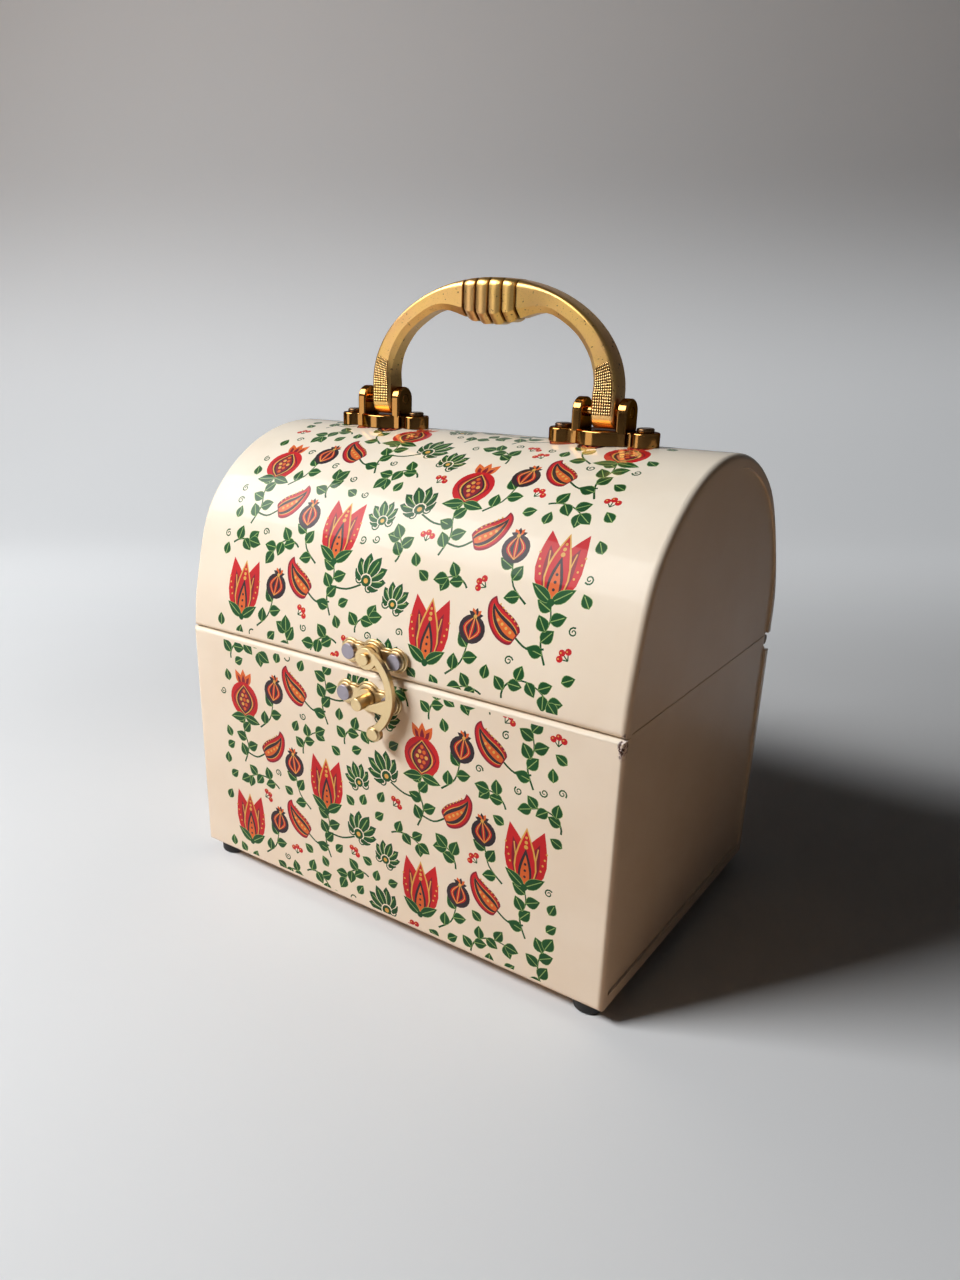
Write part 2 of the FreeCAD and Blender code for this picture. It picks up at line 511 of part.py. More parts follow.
keep("handle_plate_screws", group("handle_plate_screws_group", *[
    screw(f"plate_screw_{name}", "z", 1, PLATE_TOP, (x, MIDDLE), "plate_screw_head", "plate_screw_dome",
          "plate_screw_radius", "plate_thickness + screw_bite") for name, x in SCREW_SPOTS]))

# Handle: an arched casting of rounded oblong section, with a fuller, grooved grip and round feet
PIN_HEIGHT = sum(size(word) for word in ("foot_height", "base_height", "lid_wall", "handle_pin_height"))
PIN_HEIGHT += size("box_depth") / 2


def oblong(outside, inside, depth, corner):
    """A rounded rectangle of wire between an outer and an inner point, depth wide along Y."""
    centre = (outside + inside) * 0.5
    outward = outside - inside
    half = outward.Length / 2
    outward.normalize()
    side = FreeCAD.Vector(0, 1, 0)
    wide = depth / 2
    corner = min(corner, half * 0.9, wide * 0.9)
    edges = []
    turn_points = []
    for sign_out, sign_side in ((1, 1), (-1, 1), (-1, -1), (1, -1)):
        middle = centre + outward * (sign_out * (half - corner)) + side * (sign_side * (wide - corner))
        to_out = outward * (sign_out * corner)
        to_side = side * (sign_side * corner)
        ends = [middle + to_out, middle + to_side]
        if sign_out != sign_side:
            ends.reverse()
        turn_points.append((ends[0], middle + (to_out + to_side) * math.sqrt(0.5), ends[1]))
    for number, (first, between, last) in enumerate(turn_points):
        edges.append(Part.Arc(first, between, last).toShape())
        edges.append(Part.LineSegment(last, turn_points[(number + 1) % 4][0]).toShape())
    return Part.Wire(edges)


def bow_outline(angle, height):
    """The casting's outer and inner points at an angle over its span, its depth and its corner radius.

    Below the springing, height counts from the pins. The arms taper from the legs to the swelling grip,
    and across the grip the sections stand upright."""
    half_span = size("handle_spacing") / 2 + size("leg_width") / 2
    stub = size("handle_stub")
    rise = size("handle_rise") - stub
    cosine, sine = math.cos(math.radians(angle)), math.sin(math.radians(angle))
    along = abs(half_span * cosine)
    swell = 0.5 + 0.5 * math.cos(math.pi * min(1.0, along / size("grip_reach")))
    arm = min(1.0, (90.0 - abs(angle - 90.0)) / size("arm_angle"))
    thick = size("leg_width") + arm * (size("arm_height") - size("leg_width"))
    thick += swell * (size("grip_height") - size("arm_height"))
    upright = min(1.0, max(0.0, 2.0 - along / size("grip_upright")))
    outward = FreeCAD.Vector(cosine / half_span, 0, sine / rise).normalize()
    outward = (outward * (1.0 - upright) + FreeCAD.Vector(0, 0, upright)).normalize()
    level = PIN_HEIGHT + (stub if height is None else height)
    at_middle = FreeCAD.Vector(size("handle_play"), size("latch_reach") / 2, level)
    outside = at_middle + FreeCAD.Vector(half_span * cosine, 0, rise * sine)
    depth = size("leg_depth") + swell * (size("grip_depth") - size("leg_depth"))
    corner = size("handle_round") + swell * (size("grip_round") - size("handle_round"))
    return outside, outside - outward * thick, depth, corner


def bow_section(angle, height):
    return oblong(*bow_outline(angle, height))


ANGLES = (180, 166, 152, 138, 126, 116, 108, 102, 96, 90, 84, 78, 72, 64, 54, 42, 28, 14, 0)
stations = [(180, 0.0), (180, size("handle_stub") / 2)] + [(angle, None) for angle in ANGLES]
stations += [(0, size("handle_stub") / 2), (0, 0.0)]
bow = doc.addObject("Part::Feature", "bow_cast")
bow.Shape = Part.makeLoft([bow_section(*station) for station in stations], True, False)
feet = []
for side, x in PLATE_SIDES:
    half_foot = "(leg_width / 2 - handle_round / 5)"
    foot = rod(f"bow_foot_{side}", "x", "leg_depth / 2 - handle_round / 8",
               f"{x} + handle_play - {half_foot}", f"{x} + handle_play + {half_foot}", (MIDDLE, PIN_Z))
    feet.append(rounded(f"bow_foot_soft_{side}", foot, size("foot_edge_round"),
                        lambda edge: corners(edge).XLength < 1e-6))
grooves = []
for number in range(int(size("groove_count"))):
    off = (number - (size("groove_count") - 1) / 2) * size("groove_pitch")
    half_span = size("handle_spacing") / 2 + size("leg_width") / 2
    outside, inside, depth, corner = bow_outline(math.degrees(math.acos(off / half_span)), None)
    sunk = FreeCAD.Vector(0, 0, size("groove_depth"))
    wide = FreeCAD.Vector(size("groove_width"), 0, 0)
    core_wire = oblong(outside - sunk - wide, inside + sunk - wide, depth - 2 * size("groove_depth"), corner)
    core = doc.addObject("Part::Feature", f"groove_core_{number}")
    core.Shape = Part.Face(core_wire).extrude(wide * 2)
    place = f"(handle_play + ({number} - (groove_count - 1) / 2) * groove_pitch)"
    ends = (f"{place} - groove_width / 2", f"{place} + groove_width / 2")
    slab = block(f"groove_slab_{number}", ends, (f"{MIDDLE} - grip_depth", f"{MIDDLE} + grip_depth"),
                 (f"{PIN_Z} + handle_rise - grip_height * 1.2", f"{PIN_Z} + handle_rise + grip_height / 5"))
    grooves.append(cut(f"grip_groove_{number}", slab, core))
pin_bores = [rod(f"bail_bore_{side}", "x", "handle_pin_radius + pin_play",
                 f"{x} - ear_gap", f"{x} + ear_gap", (MIDDLE, PIN_Z)) for side, x in PLATE_SIDES]
keep("handle_bail", cut("bail_bored", fuse("bail_plain", bow, *feet), *grooves, *pin_bores))

# Check and write
doc.recompute()
failed = [obj.Name for obj in doc.Objects if "Invalid" in obj.State or "Error" in obj.State]
failed += [label for label, obj in pieces.items()
           if obj.Shape.isNull() or not obj.Shape.isValid() or not obj.Shape.Solids]
if failed:
    raise RuntimeError("not built: " + ", ".join(failed))
os.makedirs("parts", exist_ok=True)
for label, obj in pieces.items():
    obj.Shape.exportStep(f"parts/{label}.step")
    limits = obj.Shape.BoundBox
    print(f"{label}: {len(obj.Shape.Solids)} solids, {obj.Shape.Volume:.1f} mm3, "
          f"x {limits.XMin:.2f} {limits.XMax:.2f}, y {limits.YMin:.2f} {limits.YMax:.2f}, "
          f"z {limits.ZMin:.2f} {limits.ZMax:.2f}")
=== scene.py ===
"""Looks of the keepsake trunk box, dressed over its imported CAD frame.

Metres, in the frame's own axes: X along the front, Y from the front to the back, Z up.
Lengths are written in millimetres and become metres through MM.
"""
import json
import math
import random

import bmesh
import bpy
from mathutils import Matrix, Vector
from mathutils.geometry import delaunay_2d_cdt


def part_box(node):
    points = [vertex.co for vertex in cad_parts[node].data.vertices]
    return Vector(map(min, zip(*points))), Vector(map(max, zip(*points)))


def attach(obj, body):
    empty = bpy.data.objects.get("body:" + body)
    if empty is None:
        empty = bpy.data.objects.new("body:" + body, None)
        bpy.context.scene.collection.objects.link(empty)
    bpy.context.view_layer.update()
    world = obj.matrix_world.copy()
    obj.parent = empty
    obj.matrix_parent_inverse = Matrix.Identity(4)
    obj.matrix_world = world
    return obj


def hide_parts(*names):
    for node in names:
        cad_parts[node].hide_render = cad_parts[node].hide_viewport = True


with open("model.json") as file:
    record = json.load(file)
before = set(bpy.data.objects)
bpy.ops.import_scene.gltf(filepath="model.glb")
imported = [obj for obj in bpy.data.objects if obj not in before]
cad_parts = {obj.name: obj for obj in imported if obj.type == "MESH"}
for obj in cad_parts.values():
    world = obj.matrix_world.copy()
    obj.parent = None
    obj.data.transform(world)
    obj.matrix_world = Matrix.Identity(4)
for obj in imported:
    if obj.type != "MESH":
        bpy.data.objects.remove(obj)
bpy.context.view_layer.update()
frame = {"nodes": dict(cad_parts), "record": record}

MM = 0.001
PER_MM = 1000.0
MERGE = 0.001 * MM
NODES = frame["nodes"]
BODIES = frame["record"]["behaviour"]["bodies"]
BODY_OF = {node: body for body, members in BODIES.items() for node in members}


def span(node, axis):
    """A node's low and high place along an axis, in millimetres."""
    low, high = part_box(node)
    number = "xyz".index(axis)
    return low[number] / MM, high[number] / MM


# Places read from the frame
HALF_WIDTH = span("lid_skin", "x")[1]
FRONT_Y, FRONT_INNER_Y = span("base_front_panel", "y")
BACK_INNER_Y, BACK_Y = span("base_back_panel", "y")
BASE_FOOT_Z, SEAM_Z = span("base_front_panel", "z")
BACK_TOP_Z = span("base_back_panel", "z")[1]
LID_FOOT_Z, CROWN_Z = span("lid_skin", "z")
BOARD = FRONT_INNER_Y - FRONT_Y
MIDDLE_Y = (FRONT_Y + BACK_Y) / 2
ARC = (BACK_Y - FRONT_Y) / 2
SPRING_Z = CROWN_Z - ARC
EDGE_ROUND = 1.8
LID_RIM_ROUND = 2.2
ROUND_STEPS = 6
REAR_LIFT = 1.0
LID_REAR_Z = SEAM_Z + REAR_LIFT
ARC_STEPS = 48


# Modelling by hand-like steps
def alone(piece=None):
    """Leaves one object selected and active, or none, in object mode."""
    if bpy.context.mode != "OBJECT":
        bpy.ops.object.mode_set(mode="OBJECT")
    bpy.ops.object.select_all(action="DESELECT")
    if piece:
        piece.select_set(True)
        bpy.context.view_layer.objects.active = piece


def edit(piece, kind="EDGE"):
    """Opens a piece in edit mode with nothing selected, to pick vertices, edges or faces."""
    alone(piece)
    bpy.ops.object.mode_set(mode="EDIT")
    bpy.ops.mesh.select_mode(type=kind)
    bpy.ops.mesh.select_all(action="DESELECT")


def pick(piece, kind, test):
    """Selects the edges or faces of the open piece whose corners, in millimetres, pass a test."""
    mesh = bmesh.from_edit_mesh(piece.data)
    for part in mesh.edges if kind == "EDGE" else mesh.faces:
        part.select_set(test([corner.co / MM for corner in part.verts]))
    bmesh.update_edit_mesh(piece.data)


def near(value, target, slack=0.02):
    return abs(value - target) < slack


def block(name, x, y, z):
    """A box between low and high places along each axis, in millimetres, with its place in its mesh."""
    alone()
    lows, highs = zip(x, y, z)
    middle = [(low + high) / 2 * MM for low, high in zip(lows, highs)]
    bpy.ops.mesh.primitive_cube_add(size=1.0, location=middle)
    piece = bpy.context.active_object
    piece.scale = [(high - low) * MM for low, high in zip(lows, highs)]
    piece.name = name
    piece.data.name = name
    bpy.ops.object.transform_apply(location=True, rotation=True, scale=True)
    return piece


def smooth(piece, angle):
    """Smooth shading up to an angle in degrees."""
    alone(piece)
    bpy.ops.object.shade_smooth_by_angle(angle=math.radians(angle))


def dress(piece, node, material=None, slot=None):
    """Makes a piece stand for a CAD node, on the node's body."""
    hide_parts(node)
    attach(piece, BODY_OF[node])
    if material:
        piece.data.materials.clear()
        piece.data.materials.append(material)
    return piece


# Shader maths
class Flow:
    """A node's output in a material, with Python's operators as Math nodes."""

    def __init__(self, tree, output=None):
        self.tree = tree
        self.output = output

    def node(self, kind, settings=None, sockets=None, output=0):
        """Adds a node: its settings first, then the values or links of its sockets."""
        made = self.tree.nodes.new(kind)
        for name, value in (settings or {}).items():
            setattr(made, name, value)
        for name, value in (sockets or {}).items():
            if isinstance(value, Flow):
                self.tree.links.new(value.output, made.inputs[name])
            else:
                made.inputs[name].default_value = value
        return Flow(self.tree, made.outputs[output])

    def maths(self, operation, *values):
        return self.node("ShaderNodeMath", {"operation": operation}, dict(enumerate(values)))

    def __add__(self, other):
        return self.maths("ADD", self, other)

    def __radd__(self, other):
        return self.maths("ADD", other, self)

    def __sub__(self, other):
        return self.maths("SUBTRACT", self, other)

    def __rsub__(self, other):
        return self.maths("SUBTRACT", other, self)

    def __mul__(self, other):
        return self.maths("MULTIPLY", self, other)

    def clear(self, low, high):
        """0 below low and 1 above high, smooth between them."""
        sockets = {"Value": self, "From Min": low, "From Max": high}
        return self.node("ShaderNodeMapRange", {"interpolation_type": "SMOOTHSTEP", "clamp": True}, sockets)

    def blend(self, first, second):
        """A colour between two, by this value."""
        sockets = {"Factor": self, 6: first, 7: second}
        return self.node("ShaderNodeMix", {"data_type": "RGBA"}, sockets, 2)


def tint(red, green, blue):
    """A colour written as eight-bit screen values, as the linear values and full alpha of a colour socket."""
    scaled = [value / 255.0 for value in (red, green, blue)]
    linear = (value / 12.92 if value <= 0.04045 else ((value + 0.055) / 1.055) ** 2.4 for value in scaled)
    return (*linear, 1.0)


class Finish:
    """A new material with one Principled shader, its place on the object, and its noises."""

    def __init__(self, name):
        self.material = bpy.data.materials.new(name)
        self.material.use_nodes = True
        self.tree = self.material.node_tree
        self.shader = self.tree.nodes["Principled BSDF"]
        self.start = Flow(self.tree)
        self.place = self.start.node("ShaderNodeTexCoord", output="Object")

    def noise(self, per_mm, detail=3.0, rough=0.5, stretch=None):
        """Noise with so many features to a millimetre, stretched along an axis if asked."""
        place = self.place
        if stretch:
            place = self.start.node("ShaderNodeMapping", None, {"Vector": place, "Scale": stretch})
        sockets = {"Vector": place, "Scale": per_mm * PER_MM, "Detail": detail, "Roughness": rough}
        return self.start.node("ShaderNodeTexNoise", {"normalize": True}, sockets, "Fac")

    def set(self, **sockets):
        """Sets the shader's sockets, with underscores for the spaces in their names."""
        for name, value in sockets.items():
            socket = self.shader.inputs[name.replace("_", " ")]
            if isinstance(value, Flow):
                self.tree.links.new(value.output, socket)
            else:
                socket.default_value = value
        return self

    def bump(self, height, depth_mm, strength=1.0):
        sockets = {"Height": height, "Distance": depth_mm * MM, "Strength": strength}
        return self.set(Normal=self.start.node("ShaderNodeBump", None, sockets, "Normal"))

    def hollow(self, reach_mm, inside=False):
        """Ambient occlusion of the piece by itself: 1 in the open, falling towards 0 in a recess or,
        with inside, towards a sharp outer edge."""
        settings = {"only_local": True, "inside": inside, "samples": 8}
        return self.start.node("ShaderNodeAmbientOcclusion", settings, {"Distance": reach_mm * MM}, "AO")


# Finishes
CHIP_PLACE = (HALF_WIDTH - 0.4, FRONT_Y + 0.4, SEAM_Z - 2.2)
CHIP_REACH = (2.4, 2.4, 5.2)


def lacquer(name, colour, shade):
    """Gloss lacquer over board: faintly mottled, slightly rippled, and chipped at one corner of the seam."""
    made = Finish(name)
    mottle = made.noise(0.045, 4.0)
    specks = made.noise(1.1, 2.0).clear(0.66, 0.74)
    body = mottle.clear(0.3, 0.75).blend(tint(*colour), tint(*shade))
    body = (specks * 0.25).blend(body, tint(*shade))
    from_chip = {"Vector": made.place, "Scale": [PER_MM / reach for reach in CHIP_REACH],
                 "Location": [-at / reach for at, reach in zip(CHIP_PLACE, CHIP_REACH)]}
    from_chip = {0: made.start.node("ShaderNodeMapping", None, from_chip)}
    away = made.start.node("ShaderNodeVectorMath", {"operation": "LENGTH"}, from_chip, "Value")
    corner = 1 - away.clear(0.6, 1.0)
    flakes = made.noise(1.0, 3.0, 0.6, (1.0, 1.0, 0.6))
    bare = (corner * flakes.clear(0.42, 0.46)).blend(body, tint(214, 200, 194))
    worn = (corner * flakes.clear(0.53, 0.56)).blend(bare, tint(74, 50, 42))
    made.set(Base_Color=worn, Specular_IOR_Level=0.2)
    made.set(Roughness=0.4 + made.noise(0.3, 3.0) * 0.15, Coat_Weight=1.0, Coat_IOR=1.16, Coat_Roughness=0.03)
    return made.bump(made.noise(0.09, 2.0), 0.05, 0.3).material


PINKER_SHARES = (0.98, 0.95, 1.08)
GRAZING_SHARE = 0.6


def antique_brass(name, gold, brown, gloss):
    """Cast brass in two golds: dark in its pits, and in its recesses and creases partly as patina and partly
    as painted shade; bright along its edges, partly as wear and partly as a painted highlight.
    """
    made = Finish(name)
    grain = made.noise(2.2, 5.0, 0.65)
    patches = made.noise(0.12, 3.0)
    pits = made.noise(0.8, 2.0).clear(0.66, 0.72)
    # recess and crease darken the hollows and creases towards the brown: partly patina, partly painted shade.
    recess = 1 - made.hollow(2.5).clear(0.4, 0.9)
    crease = 1 - made.hollow(0.9).clear(0.45, 0.9)
    # edges, and worn below, brighten the sharp outer edges: partly real wear, partly a painted highlight.
    edges = 1 - made.hollow(0.7, True).clear(0.35, 0.8)
    tarnish = grain.clear(0.54, 0.68) * 0.35 + patches.clear(0.5, 0.75) * 0.2
    # Real tarnish and pits, with the hollows and creases darkened partly as patina and partly as painted
    # shade.
    patina_and_shade = (tarnish + pits * 0.7 + recess * 0.4 + crease).clear(0.0, 1.0)
    worn = edges * (1 - crease).clear(0.2, 0.8) * made.noise(0.5, 3.0).clear(0.4, 0.6)
    pinker = [value * share for value, share in zip(gold, PINKER_SHARES)]
    golds = made.noise(0.06, 2.0).clear(0.3, 0.7).blend(tint(*gold), tint(*pinker))
    body = patina_and_shade.blend(golds, tint(*brown))
    # The pale gold on the edges is partly wear and partly a painted highlight.
    made.set(Base_Color=(worn * 0.7).blend(body, tint(252, 224, 168)), Metallic=1.0)
    made.set(Roughness=gloss + grain * 0.12 + patina_and_shade * 0.12 - worn * 0.06)
    return made.bump(grain, 0.08, 0.7).material


def polished_brass(name, gold, shade, gloss, reach=1.5):
    """Stamped brass, polished in soft streaks, whose hollows within a reach in millimetres are duller and
    darkened by painted shade.
    """
    made = Finish(name)
    brush = made.noise(0.35, 3.0, 0.5, (1.0, 1.0, 4.0))
    # recess: painted shade where the piece shades itself within the reach; it also raises the roughness
    # there.
    recess = 1 - made.hollow(reach).clear(0.4, 0.95)
    stain = made.noise(0.3, 3.0).clear(0.5, 0.8)
    # Darker towards the shade colour: painted shade in the hollows, and real stains.
    body = (recess * 0.8 + stain * 0.25).clear(0.0, 1.0).blend(tint(*gold), tint(*shade))
    made.set(Base_Color=body, Metallic=1.0, Roughness=gloss + brush * 0.06 + stain * 0.06 + recess * 0.3)
    made.set(Specular_Tint=tint(*[value * GRAZING_SHARE for value in gold]))
    return made.bump(brush, 0.02, 0.2).material


def rubber(name):
    made = Finish(name)
    dust = made.noise(0.9, 4.0).clear(0.5, 0.8)
    made.set(Base_Color=dust.blend(tint(18, 18, 19), tint(44, 42, 41)), Roughness=0.55 + dust * 0.2)
    return made.bump(made.noise(2.5, 3.0), 0.05, 0.4).material


CREAM = lacquer("cream_lacquer", (241, 231, 214), (237, 225, 206))
INKS = {
    "leaf": ((16, 80, 34), (12, 66, 28)), "vein": ((150, 182, 108), (130, 164, 92)),
    "red": ((202, 28, 36), (184, 22, 32)), "crimson": ((138, 22, 44), (120, 18, 38)),
    "orange": ((222, 108, 48), (206, 92, 40)), "gold": ((226, 178, 92), (208, 158, 76)),
    "dark": ((50, 38, 44), (38, 28, 34)),
}
PRINT = {"cream": CREAM, **{ink: lacquer(ink + "_ink", *colours) for ink, colours in INKS.items()}}
HANDLE_BRASS = antique_brass("handle_antique_brass", (240, 194, 114), (80, 42, 24), 0.24)
# The plates' reach of 8 mm paints shade over their middle, between and below the ears.
PLATE_BRASS = polished_brass("plate_dark_brass", (186, 134, 74), (24, 13, 7), 0.08, 8.0)
LATCH_BRASS = polished_brass("latch_brass", (230, 202, 154), (92, 62, 36), 0.26)
# The walls of the pads' beads take this darker brass, so dark lines run between the beads: partly patina,
# partly painted shade in the grooves.
KNURL_BRASS = polished_brass("handle_knurl_lines", (128, 82, 46), (40, 22, 12), 0.4)
LATCH_SCREW = polished_brass("latch_screw_metal", (164, 156, 164), (84, 78, 86), 0.3)
PLATE_SCREW = antique_brass("plate_screw_metal", (120, 92, 62), (40, 28, 20), 0.22)
HINGE_METAL = antique_brass("hinge_bronze", (96, 72, 48), (34, 25, 18), 0.32)
RUBBER = rubber("foot_rubber")


# Print: leaf, flower and fruit shapes in paper millimetres, each an ink and an outline
def disc(centre, radius, count=10):
    turns = [2 * math.pi * step / count for step in range(count)]
    return [(centre[0] + radius * math.cos(turn), centre[1] + radius * math.sin(turn)) for turn in turns]


def petal(length, width, belly=0.8, steps=6, root=0.0):
    """A pointed oval along u, widest nearer its root where belly is under 1."""
    shares = [step / steps for step in range(steps + 1)]
    half = [(root + length * share, width / 2 * math.sin(math.pi * share ** belly)) for share in shares]
    return half + [(u, -v) for u, v in half[-2:0:-1]]


def curve(points, steps=4):
    """A smooth line through given points."""
    line = []
    ends = [points[0], *points, points[-1]]
    for around in zip(ends, ends[1:], ends[2:], ends[3:]):
        for step in range(steps):
            share = step / steps
            line.append(tuple(
                (2 * b + (c - a) * share + (2 * a - 5 * b + 4 * c - d) * share ** 2
                 + (3 * b - a - 3 * c + d) * share ** 3) / 2
                for a, b, c, d in zip(*around)))
    return line + [tuple(points[-1])]


def stroke(line, width):
    """A band along a line; width is a number, or a function of the share along it."""
    left, right = [], []
    last = len(line) - 1
    for number, (u, v) in enumerate(line):
        before, after = line[max(0, number - 1)], line[min(last, number + 1)]
        along = (after[0] - before[0], after[1] - before[1])
        half = (width(number / last) if callable(width) else width) / 2 / math.hypot(*along)
        left.append((u - along[1] * half, v + along[0] * half))
        right.append((u + along[1] * half, v - along[0] * half))
    return left + right[::-1]


def placed(shapes, at, angle=0.0, scale=1.0, flip=1):
    """Shapes turned by an angle in degrees, scaled, mirrored where flip is -1, and moved."""
    cosine, sine = math.cos(math.radians(angle)) * scale, math.sin(math.radians(angle)) * scale
    return [(ink, [(at[0] + u * cosine - flip * v * sine, at[1] + u * sine + flip * v * cosine)
                   for u, v in points]) for ink, points in shapes]


def heading(start, end):
    return math.degrees(math.atan2(end[1] - start[1], end[0] - start[0]))


def leaf(length, width=None):
    """A green leaf with a pale rim and rib."""
    width = width or length * 0.76
    rib = stroke([(length * 0.05, 0.0), (length * 0.86, 0.0)], 0.3)
    rim = petal(length + 0.4, width + 0.36, root=-0.2)
    return [("vein", rim), ("leaf", petal(length, width)), ("vein", rib)]


def sprig(line, pitch, length, first, tip=True):
    """A stem with leaves on alternate sides, and one at its tip if asked."""
    shapes = [("leaf", stroke(line, lambda share: 0.75 - 0.3 * share))]
    walked, following, lean = 0.0, first, 52.0
    for start, end in zip(line, line[1:]):
        walked += math.dist(start, end)
        if walked >= following:
            shapes += placed(leaf(length), end, heading(start, end) + lean)
            following += pitch
            lean = -lean
    if tip:
        shapes += placed(leaf(length * 1.05), line[-1], heading(*line[-2:]))
    return shapes


def curl(radius, turns=1.4, steps=14):
    """A tendril that winds in on itself."""
    line = []
    for step in range(steps + 1):
        share = step / steps
        reach = radius * (1 - 0.82 * share)
        turn = 2 * math.pi * turns * share - math.pi / 2
        line.append((reach * math.cos(turn), radius + reach * math.sin(turn)))
    return [("leaf", stroke(line, lambda share: 0.6 - 0.25 * share))]


def palmette(size=11.0, petals=7):
    """A fan of green petals over two curls."""
    shapes = []
    for off in sorted((number - (petals - 1) / 2 for number in range(petals)), key=abs, reverse=True):
        length = size * (1.0 - 0.045 * off * off)
        rib = stroke([(length * 0.3, 0), (length * 0.82, 0)], 0.4)
        shapes += placed([("cream", petal(length + 0.5, size * 0.47, 1.25)),
                          ("leaf", petal(length, size * 0.4, 1.25)), ("vein", rib)], (0, 0), off * 27.0)
    for ink, radius in (("cream", 0.25), ("leaf", 0.2), ("gold", 0.09)):
        shapes.append((ink, disc((0.4, 0), size * radius)))
    for side in (1, -1):
        shapes += placed(curl(1.7), (-1.0, side * 1.2), 180.0, 1.0, -side)
    return shapes


def tulip(height=24.0):
    """A striped red flower over two green sepals."""
    shapes = []
    for side in (1, -1):
        line = curve([(2, 0), (height * 0.4, side * 0.7), (height * 0.7, 0)])
        shapes += placed([("red", petal(height, height * 0.44, 0.72)),
                          ("crimson", petal(height * 0.78, height * 0.24, 0.72)),
                          ("gold", stroke(line, 0.45))], (0, 0), side * 16.0)
    layers = (("gold", 0.95, 0.37), ("red", 0.9, 0.32), ("dark", 0.62, 0.22), ("orange", 0.52, 0.15))
    for ink, length, width in layers:
        shapes.append((ink, petal(height * length, height * width, 0.68)))
    for step in range(3):
        shapes.append(("gold", disc((height * (0.64 + 0.075 * step), 0), 0.8 - 0.14 * step, 8)))
        shapes.append(("dark", disc((height * (0.17 + 0.1 * step), 0), 0.55, 6)))
    for side in (1, -1):
        for step in range(4):
            shapes += placed([("gold", disc((height * (0.4 + 0.1 * step), side * height * 0.14), 0.42, 6))],
                             (0, 0), side * 16.0)
    for side in (1, -1):
        shapes += placed(leaf(height * 0.38, height * 0.16), (0, 0), side * 56.0)
    return shapes + [("leaf", disc((0, 0), 1.3))]


def pomegranate(radius=7.6):
    """A round red fruit with a crown, opened on its seeds."""
    shapes = []
    crown = [("orange", petal(radius * 0.86, radius * 0.46, 0.7)),
             ("crimson", petal(radius * 0.56, radius * 0.24, 0.7))]
    for off in (-1, 1, 0):
        shapes += placed(crown, (radius * 1.86, off * radius * 0.14), off * 30.0)
    shapes.append(("red", disc((radius, 0), radius, 24)))
    seam = curve([(0.4, 0), (radius, radius * 0.78), (radius * 1.8, 0.8)])
    for side in (1, -1):
        shapes += placed([("crimson", stroke(seam, 0.6))], (0, 0), 0.0, 1.0, side)
    layers = (("gold", 1.7, 1.28, 0.15), ("dark", 1.58, 1.12, 0.21), ("crimson", 1.42, 0.9, 0.29))
    for ink, length, width, root in layers:
        shapes.append((ink, petal(radius * length, radius * width, 0.9, 8, radius * root)))
    for row in range(5):
        for column in (-1, 0, 1):
            u = radius * 0.5 + row * 1.9
            v = column * 1.9 + (0.95 if row % 2 else 0.0)
            if abs(v) < 2.7 - abs(u - radius) * 0.42:
                shapes.append(("gold" if (row + column) % 2 else "orange", disc((u, v), 0.78, 8)))
    for side in (1, -1):
        shapes += placed(leaf(8.2, 3.8), (0.3, 0), side * 100.0)
    return shapes


def paisley(length=16.5):
    """A curled drop in red, dark and orange bands, with gold beads."""
    knots = ((0, 0), (0.28, 0.013), (0.55, 0.087), (0.78, 0.24), (0.84, 0.413))
    spine = curve([(length * u, length * v) for u, v in knots], 6)

    def band(share, widest):
        return max(0.05, widest * length * math.sin(math.pi * min(1.0, share * 0.93 + 0.07) ** 0.62))

    shapes = [("crimson", stroke(spine, lambda share: band(share, 0.56)))]
    for ink, widest in (("red", 0.47), ("gold", 0.36), ("dark", 0.32), ("orange", 0.17)):
        inner = spine[1:int(len(spine) * (0.55 + widest * 0.8))]
        shapes.append((ink, stroke(inner, lambda share, widest=widest: band(share, widest))))
    for step in range(4):
        shapes.append(("gold", disc((length * (0.16 + 0.12 * step), 0.25 + 0.22 * step), 0.55, 8)))
    for number in range(3, 17, 2):
        u, v = spine[number]
        shapes.append(("gold", disc((u - 0.2, v + band(number / len(spine), 0.515) / 2), 0.36, 6)))
    return shapes


def seed_head(radius=5.0):
    """A dark ribbed seed head with a fringed crown."""
    shapes = [("dark", disc((radius, 0), radius, 18))]
    for off in (-1, 0, 1):
        rib = curve([(radius * 0.25, 0), (radius, off * radius * 0.55), (radius * 1.78, off * 0.5)])
        shapes.append(("red", stroke(rib, lambda share: 0.15 + 1.25 * math.sin(math.pi * share))))
        shapes.append(("gold", stroke(rib, 0.3)))
    for off in range(-2, 3):
        fringe = [("orange" if off % 2 else "dark", petal(3.0, 1.5, 0.9))]
        shapes += placed(fringe, (radius * 1.9, 0), off * 34.0)
    return shapes + [("gold", disc((radius * 1.9, 0), 0.7, 8))]


def berries():
    shapes = []
    for at in ((3.2, 0.0), (2.2, 1.9), (2.2, -1.9)):
        shapes += [("leaf", stroke([(0, 0), at], 0.4)), ("red", disc(at, 1.15)),
                   ("gold", disc((at[0] + 0.3, at[1] + 0.3), 0.32, 6))]
    return shapes


